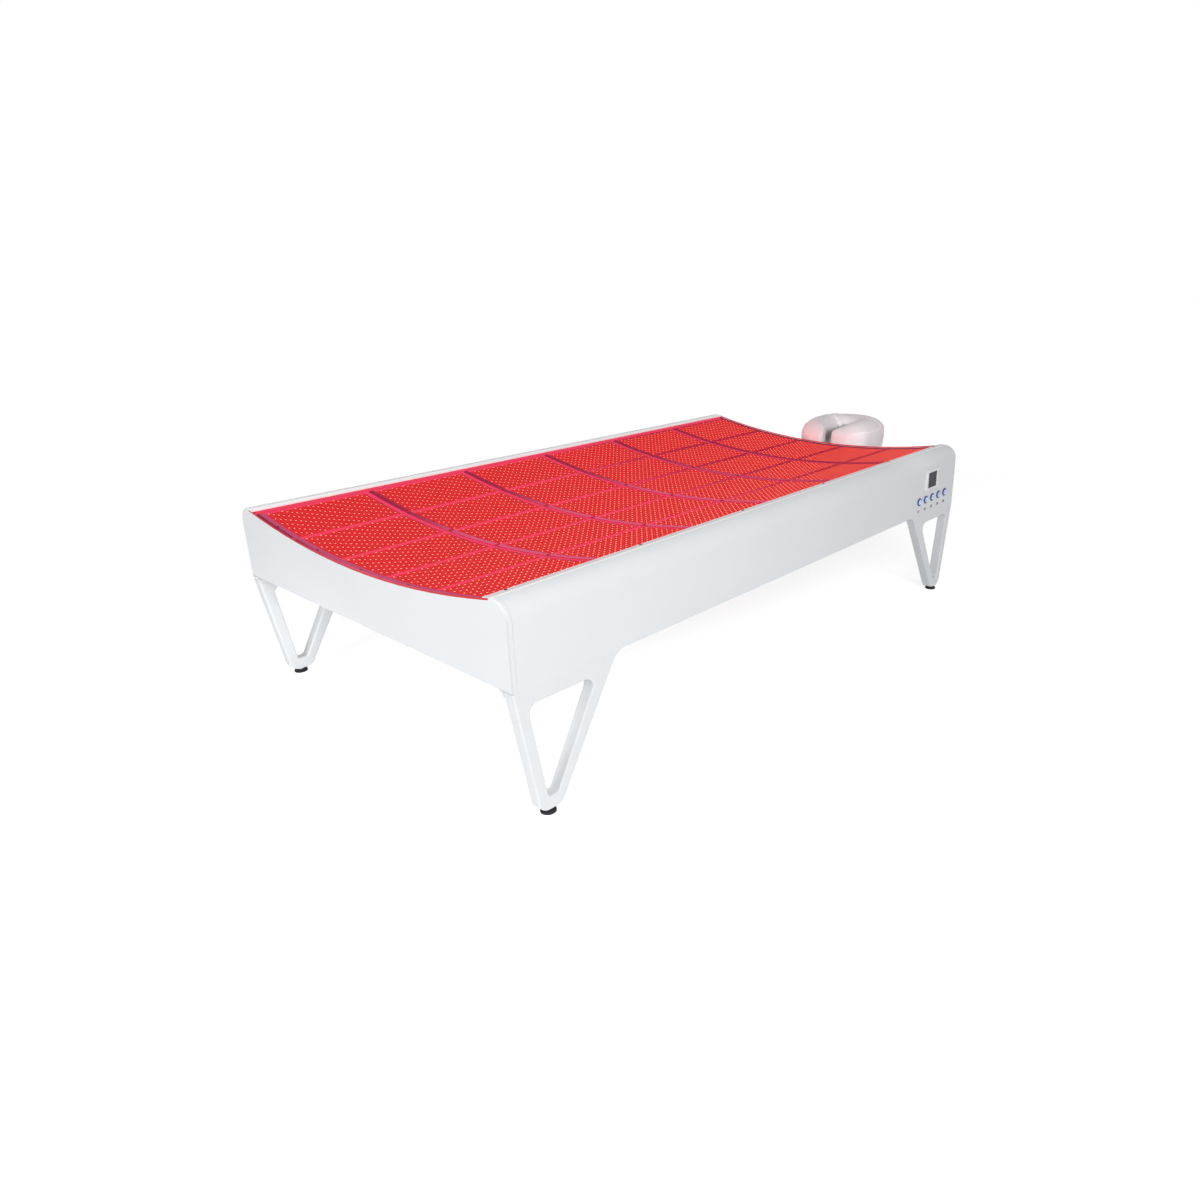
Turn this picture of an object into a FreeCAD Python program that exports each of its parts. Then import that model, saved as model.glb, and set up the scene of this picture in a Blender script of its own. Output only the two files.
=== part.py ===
"""Red light therapy bed: a hollow lit couch on four triangle legs, with a face rest at its head end.

The bed is drawn about its own centre line: X runs from the foot end to the head end, the side with the
controls faces -Y, and Z is the height above the floor. Every piece is then shifted so that the origin lies
under the middle of the whole object, face rest included.
"""
import FreeCAD, Part
import math
import operator
import os

import Sketcher

SIZES = {
    # body shell
    "skin": 3,
    "body_base": 310,
    "shoulder_radius": 44,
    "rim_flat": 9,
    "end_return": 12,
    "end_bend": 5,
    "base_flange": 34,
    "pan_thickness": 2,
    "fit_gap": 0.5,
    "seat_gap": 0.3,
    # hollow deck
    "deck_rise": 134,
    "deck_radius": 2525,
    "rim_lap": 2,
    "led_gap": 4,
    "board_length": 311,
    "board_thickness": 2,
    "column_pitch": 195.6,
    "column_gap": 5,
    "row_gap": 15.4,
    "row_end_gap": 1,
    "bar_width": 11,
    "bar_inset": 10,
    "bar_thickness": 1.5,
    "deck_sheet": 2,
    "deck_sheet_inset": 4,
    "rib_width": 50,
    "rib_depth": 28,
    "rib_wall": 3,
    "rib_inset": 1,
    "rib_foot": 5,
    "rail_width": 24,
    "rail_wall": 2.5,
    "cover_thickness": 4,
    "strip_thickness": 2,
    "strip_width": 18,
    # small fasteners of the deck
    "board_screw": 3,
    "board_screw_head": 5.2,
    "board_screw_rise": 1.2,
    "board_screw_bite": 12,
    "foot_screw_inset": 14,
    "head_screw_inset": 4,
    "rim_screw": 3,
    "rim_screw_head": 6.4,
    "rim_screw_rise": 1,
    "rim_screw_bite": 3,
    "rim_screw_inset": 51.5,
    "rim_screw_pitch": 382,
    "screw_play": 0.1,
    "head_lift": 0.05,
    # legs and feet
    "leg_thickness": 32,
    "leg_ground": 12,
    "leg_top_length": 289,
    "leg_toe_start": 49,
    "leg_toe_length": 60,
    "leg_toe_radius": 28,
    "leg_toe_depth": 32,
    "leg_bar": 37,
    "leg_arm": 36,
    "leg_opening_length": 189,
    "leg_opening_toe_start": 72,
    "leg_opening_toe_length": 26,
    "leg_inner_radius": 20,
    "leg_notch_radius": 8,
    "leg_flare_run": 18,
    "leg_flare_drop": 22,
    "leg_flare_radius": 46,
    "leg_lip": 2,
    "leg_edge": 4,
    "leg_gusset": 14,
    "leg_bolt": 8,
    "leg_bolt_head": 13,
    "leg_bolt_head_height": 5,
    "leg_bolt_bite": 22,
    "leg_bolt_start": 60,
    "leg_bolt_pitch": 150,
    "foot_stud": 10,
    "foot_stud_bite": 26,
    "foot_pad": 36,
    "foot_pad_height": 7.6,
    "foot_hub": 18,
    "foot_rim_height": 4,
    "lock_nut": 17,
    "thread_play": 0.05,
    # controls on the near side
    "display_inset": 180.5,
    "display_rise": 64,
    "display_width": 61,
    "display_tall": 51.5,
    "display_border": 3,
    "display_depth": 10,
    "display_recess": 3,
    "bezel_width": 84,
    "bezel_tall": 69,
    "bezel_proud": 6,
    "bezel_corner": 5,
    "bezel_edge": 2,
    "button_inset": 73.5,
    "button_rise": 47,
    "button_pitch": 46,
    "button": 19,
    "button_proud": 4,
    "button_length": 13,
    "button_stem": 6,
    "button_travel": 3,
    "button_edge": 1.2,
    "ring_flange": 26,
    "ring_proud": 2.4,
    "ring_barrel": 22.4,
    "ring_length": 20,
    "slide_play": 0.06,
    "switch_block": 20,
    "switch_depth": 12,
    "switch_board_margin": 12,
    "switch_board_thickness": 1.6,
    # power and control inside the body
    "supply_length": 215,
    "supply_width": 115,
    "supply_height": 50,
    "supply_pitch": 560,
    "board_panel_length": 180,
    "board_panel_width": 110,
    "board_panel_thickness": 1.6,
    "board_panel_offset": 230,
    "standoff": 7,
    "standoff_height": 8,
    "standoff_inset": 8,
    "vent_length": 90,
    "vent_width": 7,
    "vent_pitch": 22,
    "vent_offset": 300,
    # mains inlet and switch in the head end panel
    "inlet_offset": 330,
    "inlet_rise": 52,
    "inlet_width": 66,
    "inlet_tall": 32,
    "inlet_flange": 3,
    "inlet_border": 3,
    "inlet_depth": 26,
    "socket_width": 27,
    "socket_tall": 20,
    "socket_depth": 17,
    "socket_shift": 13,
    "pin_width": 2,
    "pin_tall": 4,
    "pin_length": 10.5,
    "pin_spread": 7,
    "pin_drop": 4,
    "rocker_shift": 20,
    "rocker_width": 13.4,
    "rocker_half": 10,
    "rocker_rise": 2.5,
    "rocker_dish": 0.8,
    "rocker_root": 6,
    "rocker_tilt": 9,
    "rocker_play": 0.3,
    # face rest
    "rod_clear": 6.4,
    "rod_spread": 80,
    "rod": 16,
    "rod_bite": 95,
    "rod_play": 0.08,
    "bush": 26,
    "bush_flange": 40,
    "bush_flange_thickness": 4,
    "bush_nut": 38,
    "bush_nut_thickness": 8,
    "crossbar_depth": 22,
    "crossbar_height": 24,
    "crossbar_half": 125,
    "crossbar_gap": 1,
    "ear_thickness": 8,
    "ear_radius": 11,
    "hub": 22,
    "hub_gap": 1.5,
    "tilt_pin": 10,
    "pin_head": 16,
    "pin_head_thickness": 5,
    "tilt_arm_width": 28,
    "tilt_arm_depth": 10,
    "tilt_arm_reach": 190,
    "lever_hub": 18,
    "lever_width": 11,
    "lever_length": 70,
    "lever_depth": 8,
    "side_play": 0.4,
    "plate_rise": 18,
    "plate_thickness": 9,
    "plate_inset": 12,
    "plate_corner": 28,
    "cushion_gap": 34,
    "cushion_length": 300,
    "cushion_width": 300,
    "cushion_height": 84,
    "cushion_arm": 112,
    "cushion_rest_gap": 0.3,
    "cushion_draw_in": 6,
    "cushion_wrap": 25,
    "wrap_play": 1.5,
    "wrap_clear": 5,
    "cushion_seam_height": 54,
    "cushion_seam_angle": 72,
    "cushion_seam_pinch": 3,
    "cushion_outer_corner": 84,
    "cushion_inner_corner": 24,
    "cushion_lean": 26,
    "cushion_nose_drop": 48,
    "cushion_nose_rise": 110,
    "cushion_nose_crown": 8,
}
ROWS = 6
COLUMNS = 5
RIM_SCREWS = 5
BUTTONS = 5
SUPPLIES = 3
VENTS = 10

doc = FreeCAD.newDocument("therapy_bed")
sheet = doc.addObject("Spreadsheet::Sheet", "dims")
OPERATORS = {"+": operator.add, "-": operator.sub, "*": operator.mul, "/": operator.truediv}


class Size:
    """A number with the formula that gives it from the sheet."""

    def __init__(self, value, formula):
        self.value = float(value)
        self.formula = formula

    def __add__(self, other):
        return combine(self, "+", other)

    def __radd__(self, other):
        return combine(other, "+", self)

    def __sub__(self, other):
        return combine(self, "-", other)

    def __rsub__(self, other):
        return combine(other, "-", self)

    def __mul__(self, other):
        return combine(self, "*", other)

    def __rmul__(self, other):
        return combine(other, "*", self)

    def __truediv__(self, other):
        return combine(self, "/", other)

    def __neg__(self):
        return combine(0, "-", self)


def size(number):
    return number if isinstance(number, Size) else Size(number, repr(number))


def combine(left, sign, right):
    left = size(left)
    right = size(right)
    value = OPERATORS[sign](left.value, right.value)
    return Size(value, f"({left.formula} {sign} {right.formula})")


def root(number):
    return Size(math.sqrt(number.value), f"sqrt({number.formula})")


def degrees(arc, radius):
    """Angle in degrees of a length along an arc."""
    return arc / radius * (180 / math.pi)


def slope(reach, radius):
    """Angle in degrees at which an arc of this radius stands at a reach from its lowest point."""
    ratio = reach / radius
    return Size(math.degrees(math.asin(ratio.value)), f"(asin({ratio.formula}) / 1 deg)")


class Dimensions:
    """The sheet's cells, one attribute for each alias."""

    def __init__(self, values):
        for row, (name, value) in enumerate(values.items(), 1):
            sheet.set(f"A{row}", name)
            sheet.set(f"B{row}", str(value))
            sheet.setAlias(f"B{row}", name)
            setattr(self, name, Size(value, f"dims.{name}"))


d = Dimensions(SIZES)
doc.recompute()

# lines that many pieces share
row_pitch = d.board_length + d.row_gap
deck_length = d.board_length * ROWS + d.row_gap * (ROWS - 1)
half_length = deck_length / 2 + d.row_end_gap + d.skin
inner_half_length = half_length - d.skin - d.fit_gap
deck_height = d.body_base + d.deck_rise
deck_centre = deck_height + d.led_gap + d.deck_radius
board_width = d.column_pitch - d.column_gap
strip_inner = d.column_pitch * COLUMNS / 2 - d.rim_lap
strip_outer = strip_inner + d.strip_width
step = strip_outer + d.fit_gap
half_width = step + d.rim_flat + d.shoulder_radius
pan_top = d.body_base + d.skin + d.pan_thickness
column_turn = degrees(d.column_pitch, d.deck_radius + d.led_gap)
board_top = d.deck_radius + d.led_gap
board_base = board_top + d.board_thickness
sheet_top = board_base + d.seat_gap
sheet_base = sheet_top + d.deck_sheet
rib_top = sheet_base + d.seat_gap
rib_base = rib_top + d.rib_depth
rib_half = strip_outer - d.rib_inset
ledge_top = d.deck_radius + d.seat_gap
cover_top = d.deck_radius - d.cover_thickness
strip_base = cover_top - d.seat_gap
rim_radius = strip_base - d.strip_thickness
bed_x = -(d.cushion_gap + d.cushion_length) / 2
bed_y = d.bezel_proud / 2
button_height = d.body_base + d.button_rise
display_height = button_height + d.display_rise
inlet_height = d.body_base + d.inlet_rise
rod_height = deck_centre - rib_base - d.bush_flange / 2 - d.rod_clear


def on_arc(radius, reach):
    """Height of the deck arc of this radius at a reach from the centre line, from the arc's own centre."""
    return -root(radius * radius - reach * reach)


rim_top = deck_centre + on_arc(rim_radius, strip_outer)
shoulder_low = rim_top - d.shoulder_radius
rib_foot_reach = rib_half - d.rail_width
rib_seat = deck_centre + on_arc(rib_base, rib_foot_reach) - d.rib_foot

places = {}
nodes = []


def bind(thing, path, number):
    thing.setExpression(path, size(number).formula)


def place(thing, x=0, y=0, z=0, turn=None):
    """Put a thing at a place on the bed, turned about X."""
    places[thing.Name] = (x, y, z)
    if turn is not None:
        thing.Placement = FreeCAD.Placement(FreeCAD.Vector(), FreeCAD.Rotation(FreeCAD.Vector(1, 0, 0), 1))
        bind(thing, "Placement.Rotation.Angle", turn)
    for axis, number in zip("xyz", (x, y, z)):
        bind(thing, f"Placement.Base.{axis}", number)
    return thing


def node(thing, label):
    """Name a finished sub-part and shift it to the object's own origin."""
    x, y, z = places.get(thing.Name, (0, 0, 0))
    place(thing, x + bed_x, y + bed_y, z)
    thing.Label = label
    nodes.append(thing)
    return thing


def box(name, low, high):
    """A block between two opposite corners."""
    block = doc.addObject("Part::Box", name)
    for side, start, end in zip(("Length", "Width", "Height"), low, high):
        bind(block, side, size(end) - start)
    return place(block, *low)


AXES = {"X": ((0, 1, 0), 90), "Y": ((1, 0, 0), -90), "Z": ((0, 0, 1), 0)}


def rod(name, axis, start, diameter, length):
    """A round bar that runs from its start along one axis."""
    bar = doc.addObject("Part::Cylinder", name)
    about, angle = AXES[axis]
    bar.Placement = FreeCAD.Placement(FreeCAD.Vector(), FreeCAD.Rotation(FreeCAD.Vector(*about), angle))
    bind(bar, "Radius", diameter / 2)
    bind(bar, "Height", length)
    return place(bar, *start)


def group(name, things):
    compound = doc.addObject("Part::Compound", name)
    compound.Links = things
    return compound


def fuse(name, things):
    union = doc.addObject("Part::MultiFuse", name)
    union.Shapes = things
    union.Refine = True
    return union


def cut(name, base, tools):
    difference = doc.addObject("Part::Cut", name)
    difference.Base = base
    difference.Tool = tools[0] if len(tools) == 1 else group(name + "_tools", tools)
    return difference


def origin(body, role):
    return next(feature for feature in body.Origin.OriginFeatures if feature.Role == role)


def new_body(name):
    body = doc.addObject("PartDesign::Body", name)
    body.AllowCompound = True
    return body


def new_sketch(body, plane, offset):
    sketch = body.newObject("Sketcher::SketchObject", body.Name + "_sketch")
    sketch.AttachmentSupport = [(origin(body, plane), "")]
    sketch.MapMode = "FlatFace"
    bind(sketch, "AttachmentOffset.Base.z", offset)
    return sketch


def dimension(sketch, kind, where, number):
    index = sketch.addConstraint(Sketcher.Constraint(kind, *where, number.value))
    sketch.setExpression(f"Constraints[{index}]", number.formula)


def locate(sketch, geometry, point, u, v):
    dimension(sketch, "DistanceX", (-1, 1, geometry, point), size(u))
    dimension(sketch, "DistanceY", (-1, 1, geometry, point), size(v))


def arc_between(start, end, radius):
    """The short arc from start to end, counter-clockwise for a positive radius."""
    chord = end - start
    left = FreeCAD.Vector(-chord.y, chord.x, 0).normalize()
    height = math.sqrt(max(radius * radius - chord.Length ** 2 / 4, 0))
    centre = (start + end) / 2 + left * math.copysign(height, radius)
    circle = Part.Circle(centre, FreeCAD.Vector(0, 0, 1), abs(radius))
    ends = (start, end) if radius > 0 else (end, start)
    angles = [math.atan2(point.y - centre.y, point.x - centre.x) for point in ends]
    return Part.ArcOfCircle(circle, *angles)


def outline(sketch, corners):
    """Draw a closed outline. A third number at a corner makes the side after it an arc of that radius,
    counter-clockwise if positive and clockwise if negative."""
    points = [FreeCAD.Vector(size(corner[0]).value, size(corner[1]).value, 0) for corner in corners]
    sides = []
    for corner, start, end in zip(corners, points, points[1:] + points[:1]):
        if len(corner) == 2:
            sides.append((sketch.addGeometry(Part.LineSegment(start, end)), 1, 2))
            continue
        radius = corner[2]
        first, last = (1, 2) if radius.value > 0 else (2, 1)
        geometry = sketch.addGeometry(arc_between(start, end, radius.value))
        dimension(sketch, "Radius", (geometry,), radius if radius.value > 0 else -radius)
        sides.append((geometry, first, last))
    for side, following, corner in zip(sides[-1:] + sides[:-1], sides, corners):
        sketch.addConstraint(Sketcher.Constraint("Coincident", side[0], side[2], following[0], following[1]))
        locate(sketch, following[0], following[1], corner[0], corner[1])


def circles(sketch, centres, diameter):
    for u, v in centres:
        centre = FreeCAD.Vector(size(u).value, size(v).value, 0)
        normal = FreeCAD.Vector(0, 0, 1)
        geometry = sketch.addGeometry(Part.Circle(centre, normal, size(diameter).value / 2))
        dimension(sketch, "Diameter", (geometry,), size(diameter))
        locate(sketch, geometry, 3, u, v)


def pad(body, sketch, length):
    feature = body.newObject("PartDesign::Pad", body.Name + "_pad")
    feature.Profile = sketch
    bind(feature, "Length", length)
    return feature


def pocket(body, sketch, length, forward):
    """Cut a sketch into the body, along the sketch's normal if forward."""
    doc.recompute()
    before = body.Shape.Volume
    feature = body.newObject("PartDesign::Pocket", body.Name + "_pocket")
    feature.Profile = sketch
    feature.Reversed = forward
    bind(feature, "Length", length)
    doc.recompute()
    if body.Shape.Volume >= before:
        raise RuntimeError(f"{feature.Name} cuts nothing")
    return feature


def prism(name, plane, offset, length, outlines):
    """A body padded from closed outlines on one of its planes."""
    body = new_body(name)
    sketch = new_sketch(body, plane, offset)
    for corners in outlines:
        outline(sketch, corners)
    pad(body, sketch, length)
    return body


def fan(body, features, count, turn):
    """Repeat features of a body about its X axis, one turn apart, evenly to both sides."""
    pattern = body.newObject("PartDesign::PolarPattern", body.Name + "_fan")
    pattern.Originals = features
    pattern.Axis = (origin(body, "X_Axis"), [""])
    bind(pattern, "Angle", turn * (count - 1))
    pattern.Occurrences = count
    body.Tip = pattern
    return place(body, z=deck_centre, turn=-turn * (count - 1) / 2)


def round_edges(body, radius, chosen):
    """Round the edges of a body's last feature that the test chooses by their middle point and direction."""
    doc.recompute()
    last = body.Tip
    names = []
    for number, edge in enumerate(last.Shape.Edges, 1):
        middle = edge.valueAt((edge.FirstParameter + edge.LastParameter) / 2)
        if chosen(middle, edge):
            names.append(f"Edge{number}")
    feature = body.newObject("PartDesign::Fillet", body.Name + "_round")
    feature.Base = (last, names)
    bind(feature, "Radius", radius)
    doc.recompute()
    return feature


def near(first, second):
    return abs(first - size(second).value) < 0.01


def along_y(edge):
    """True for a straight edge that runs across the bed."""
    ends = edge.firstVertex().Point - edge.lastVertex().Point
    return abs(ends.y) > 0.99 * max(edge.Length, 0.001)


# body shell


def side_panel(name, side):
    """Folded long side: ledge under the cover, step, flat rim, round shoulder, wall and bottom flange."""
    inner_step = step + d.skin
    ledge_base = ledge_top + d.skin
    shoulder_start = half_width - d.shoulder_radius
    wall = half_width - d.skin

    def at(y, z, *radius):
        return (y * side, z, *(bend * side for bend in radius))

    corners = [
        at(strip_inner, deck_centre + on_arc(ledge_top, strip_inner), ledge_top),
        at(step, deck_centre + on_arc(ledge_top, step)),
        at(step, rim_top),
        at(shoulder_start, rim_top, -d.shoulder_radius),
        at(half_width, shoulder_low),
        at(half_width, d.body_base),
        at(half_width - d.base_flange, d.body_base),
        at(half_width - d.base_flange, d.body_base + d.skin),
        at(wall, d.body_base + d.skin),
        at(wall, shoulder_low, d.shoulder_radius - d.skin),
        at(shoulder_start, rim_top - d.skin),
        at(inner_step, rim_top - d.skin),
        at(inner_step, deck_centre + on_arc(ledge_base, inner_step), -ledge_base),
        at(strip_inner, deck_centre + on_arc(ledge_base, strip_inner)),
    ]
    start = half_length - d.end_return - d.fit_gap
    return prism(name, "YZ_Plane", -start, start * 2, [corners])


def end_panel(name, end):
    """Folded end: concave top edge under the cover, round shoulders, returns at the sides and the bottom."""
    shoulder_start = half_width - d.shoulder_radius
    wall = half_width - d.skin
    step_low = deck_centre + on_arc(ledge_top, step)
    outer = [
        (-half_width, d.body_base),
        (half_width, d.body_base),
        (half_width, shoulder_low, d.shoulder_radius),
        (shoulder_start, rim_top),
        (step, rim_top),
        (step, step_low, -ledge_top),
        (-step, step_low),
        (-step, rim_top),
        (-shoulder_start, rim_top, d.shoulder_radius),
        (-half_width, shoulder_low),
    ]
    above = rim_top + d.skin
    hollow = [
        (-wall, d.body_base + d.skin),
        (wall, d.body_base + d.skin),
        (wall, shoulder_low, d.shoulder_radius - d.skin),
        (shoulder_start, rim_top - d.skin),
        (step + d.skin, rim_top - d.skin),
        (step + d.skin, above),
        (-step - d.skin, above),
        (-step - d.skin, rim_top - d.skin),
        (-shoulder_start, rim_top - d.skin, d.shoulder_radius - d.skin),
        (-wall, shoulder_low),
    ]
    face = half_length * end
    inside = face - d.end_return * end
    body = prism(name, "YZ_Plane", face if end < 0 else inside, d.end_return, [outer])
    sketch = new_sketch(body, "YZ_Plane", inside)
    outline(sketch, hollow)
    pocket(body, sketch, d.end_return - d.skin, end > 0)

    def outer_rim(middle, edge):
        on_top = abs(middle.y) < step.value + 0.1 and middle.z > d.body_base.value + d.skin.value
        return near(middle.x, face) and edge.Length > d.skin.value and not on_top

    round_edges(body, d.end_bend, outer_rim)
    return body


def make_shell():
    openings = [box("display_window", *display_box(d.fit_gap / 2))]
    openings += [rod("button_hole", "Y", (x, -half_width - d.skin, button_height),
                     d.ring_barrel + d.screw_play, d.skin * 3) for x in button_places()]
    openings += bolt_holes() + [rim_screw_bores()]
    node(cut("near_panel_cut", side_panel("near_panel", -1), openings), "near_side_panel")
    far_openings = bolt_holes() + [rim_screw_bores()]
    node(cut("far_panel_cut", side_panel("far_panel", 1), far_openings), "far_side_panel")
    node(end_panel("foot_panel", -1), "foot_end_panel")
    holes = [rod("bush_hole", "X", (half_length - d.skin * 2, side * d.rod_spread, rod_height),
                 d.bush + d.screw_play, d.skin * 3) for side in (-1, 1)]
    inlet_hole = inlet_box(d.fit_gap / 2, half_length - d.skin * 2, half_length + d.skin)
    holes.append(box("inlet_hole", *inlet_hole))
    node(cut("head_panel_cut", end_panel("head_panel", 1), holes), "head_end_panel")


def make_base_pan():
    across = half_width - d.skin - d.fit_gap
    base = pan_top - d.pan_thickness
    plate = box("pan_plate", (-inner_half_length, -across, base), (inner_half_length, across, pan_top))
    slots = []
    for end in (-1, 1):
        for number in range(VENTS):
            x = d.vent_offset * end + d.vent_pitch * (number - (VENTS - 1) / 2)
            for side in (-1, 1):
                y = d.supply_width * side - d.vent_length / 2
                low = (x - d.vent_width / 2, y, base - d.skin)
                high = (x + d.vent_width / 2, y + d.vent_length, pan_top + d.skin)
                slots.append(box("vent", low, high))
    posts = [rod("standoff", "Z", (x, y, pan_top), d.standoff, d.standoff_height)
             for x, y in standoff_places()]
    node(fuse("pan", [cut("pan_cut", plate, slots + bolt_holes())] + posts), "base_pan")


# hollow deck


def sector(name, near_reach, far_reach, inner, outer, starts, length, count):
    """Curved plates about the deck's axis, at several starts along the bed, fanned across it."""
    body = new_body(name)
    features = []
    for start in starts:
        sketch = new_sketch(body, "YZ_Plane", start)
        outline(sketch, [
            (-near_reach, on_arc(inner, near_reach), inner),
            (far_reach, on_arc(inner, far_reach)),
            (far_reach, on_arc(outer, far_reach), -outer),
            (-near_reach, on_arc(outer, near_reach)),
        ])
        features.append(pad(body, sketch, length))
    if count > 1:
        return fan(body, features, count, column_turn)
    return place(body, z=deck_centre)


def pins(name, starts, steps, count, turn):
    """Round pins that point at the deck's axis: each step is a diameter, its outer and its inner radius."""
    body = new_body(name)
    features = []
    for diameter, outer, inner in steps:
        sketch = new_sketch(body, "XY_Plane", -outer)
        circles(sketch, [(x, 0) for x in starts], diameter)
        features.append(pad(body, sketch, outer - inner))
    return fan(body, features, count, turn)


def row_starts():
    return [-deck_length / 2 + row_pitch * row for row in range(ROWS)]


def board_screw_places():
    places_along = []
    for start in row_starts():
        places_along += [start + d.foot_screw_inset, start + d.board_length - d.head_screw_inset]
    return places_along


def board_screw_bores():
    low = board_top + d.board_screw_bite + d.fit_gap
    bore = (d.board_screw + d.screw_play * 2, low, board_top - d.fit_gap)
    return pins("board_screw_bore", board_screw_places(), [bore], COLUMNS, column_turn)


def rim_screw_places():
    first = -half_length + d.rim_screw_inset
    evenly = [first + d.rim_screw_pitch * number for number in range(RIM_SCREWS)]
    return evenly + [half_length - d.rim_screw_inset]


def rim_turn():
    return slope(strip_inner + d.strip_width / 2, d.deck_radius) * 2


def rim_screw_bores():
    bore = (d.rim_screw + d.screw_play * 2, d.deck_radius + d.skin * 2, rim_radius - d.fit_gap)
    return pins("rim_screw_bore", rim_screw_places(), [bore], 2, rim_turn())


def rib_set(name, width, corners):
    """The same rib section under both ends of the deck and under each gap between board rows."""
    end_rib = inner_half_length - d.rib_width / 2
    middles = [-end_rib]
    middles += [-deck_length / 2 + row_pitch * row - d.row_gap / 2 for row in range(1, ROWS)]
    middles.append(end_rib)
    body = new_body(name)
    for middle in middles:
        sketch = new_sketch(body, "YZ_Plane", middle - width / 2)
        outline(sketch, corners)
        pad(body, sketch, width)
    return place(body, z=deck_centre)


def make_ribs():
    """Cross ribs, hollow from below: curved top, flat seats at both ends on the rails."""
    foot = rib_foot_reach
    seat = rib_seat - deck_centre
    solid = [
        (-rib_half, on_arc(rib_top, rib_half), rib_top),
        (rib_half, on_arc(rib_top, rib_half)),
        (rib_half, seat),
        (foot, seat),
        (foot, on_arc(rib_base, foot), -rib_base),
        (-foot, on_arc(rib_base, foot)),
        (-foot, seat),
        (-rib_half, seat),
    ]
    inside = foot - d.rib_wall
    ceiling = rib_top + d.rib_wall
    below = rib_base + d.rib_wall
    hollow = [
        (-inside, on_arc(ceiling, inside), ceiling),
        (inside, on_arc(ceiling, inside)),
        (inside, on_arc(below, inside), -below),
        (-inside, on_arc(below, inside)),
    ]
    ribs = rib_set("ribs", d.rib_width, solid)
    hollows = rib_set("rib_hollows", d.rib_width - d.rib_wall * 2, hollow)
    node(cut("ribs_cut", ribs, [hollows, board_screw_bores()]), "deck_ribs")


def rail(name, side):
    """Channel that carries the rib ends, its web on the outside."""
    outer = rib_half * side
    inner = rib_foot_reach * side
    web = outer - d.rail_wall * side
    corners = [
        (outer, pan_top),
        (outer, rib_seat),
        (inner, rib_seat),
        (inner, rib_seat - d.rail_wall),
        (web, rib_seat - d.rail_wall),
        (web, pan_top + d.rail_wall),
        (inner, pan_top + d.rail_wall),
        (inner, pan_top),
    ]
    return prism(name, "YZ_Plane", -inner_half_length, inner_half_length * 2, [corners])


def make_deck():
    node(rail("near_channel", -1), "near_rail")
    node(rail("far_channel", 1), "far_rail")
    make_ribs()
    length = inner_half_length * 2
    reach = rib_half - d.deck_sheet_inset
    plate = sector("deck_plate", reach, reach, sheet_top, sheet_base, [-inner_half_length], length, 1)
    node(cut("deck_plate_cut", plate, [board_screw_bores()]), "deck_sheet")
    for row, start in enumerate(row_starts(), 1):
        name = f"boards_{row}"
        half = board_width / 2
        boards = sector(name, half, half, board_top, board_base, [start], d.board_length, COLUMNS)
        node(cut(name + "_cut", boards, [board_screw_bores()]), f"led_boards_row_{row}")
    bar_base = board_top - d.seat_gap
    bar_top = bar_base - d.bar_thickness
    far_end = board_width / 2
    near_end = far_end - d.bar_inset
    bars = sector("bars", near_end, far_end, bar_top, bar_base, row_starts(), d.bar_width, COLUMNS)
    node(bars, "board_end_bars")
    head_base = board_top - d.head_lift
    steps = [
        (d.board_screw, board_top + d.board_screw_bite, head_base),
        (d.board_screw_head, head_base, head_base - d.board_screw_rise),
    ]
    node(pins("board_screw_set", board_screw_places(), steps, COLUMNS, column_turn), "board_screws")


def make_cover():
    half = half_length - d.fit_gap
    plate = sector("cover", strip_outer, strip_outer, cover_top, d.deck_radius, [-half], half * 2, 1)
    node(cut("cover_cut", plate, [rim_screw_bores()]), "clear_cover")
    for name, side in (("near", -1), ("far", 1)):
        corners = [
            (strip_inner * side, on_arc(rim_radius, strip_inner), rim_radius * side),
            (strip_outer * side, on_arc(rim_radius, strip_outer)),
            (strip_outer * side, on_arc(strip_base, strip_outer), -strip_base * side),
            (strip_inner * side, on_arc(strip_base, strip_inner)),
        ]
        strip = prism(name + "_strip", "YZ_Plane", -half, half * 2, [corners])
        place(strip, z=deck_centre)
        node(cut(name + "_strip_cut", strip, [rim_screw_bores()]), name + "_rim_strip")
    head_base = rim_radius - d.head_lift
    steps = [
        (d.rim_screw, d.deck_radius + d.rim_screw_bite, head_base),
        (d.rim_screw_head, head_base, head_base - d.rim_screw_rise),
    ]
    node(pins("rim_screw_set", rim_screw_places(), steps, 2, rim_turn()), "rim_screws")


# legs and levelling feet

CORNERS = {"foot_near": (-1, -1), "foot_far": (-1, 1), "head_near": (1, -1), "head_far": (1, 1)}
foot_inset = d.leg_toe_start + d.leg_toe_length / 2


def leg_y(side):
    return (half_width - d.leg_thickness / 2) * side


def foot_place(end, side):
    return (half_length - foot_inset) * end, leg_y(side)


def leg_bolt_places():
    insets = (d.leg_bolt_start, d.leg_bolt_start + d.leg_bolt_pitch)
    return [((half_length - inset) * end, leg_y(side)) for end, side in CORNERS.values() for inset in insets]


def bolt_holes():
    """Clearance for the leg bolts through the side panels' flanges and the pan."""
    low = d.body_base - d.skin
    length = pan_top - low + d.skin
    return [rod("bolt_hole", "Z", (x, y, low), d.leg_bolt + d.fit_gap, length) for x, y in leg_bolt_places()]


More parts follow.
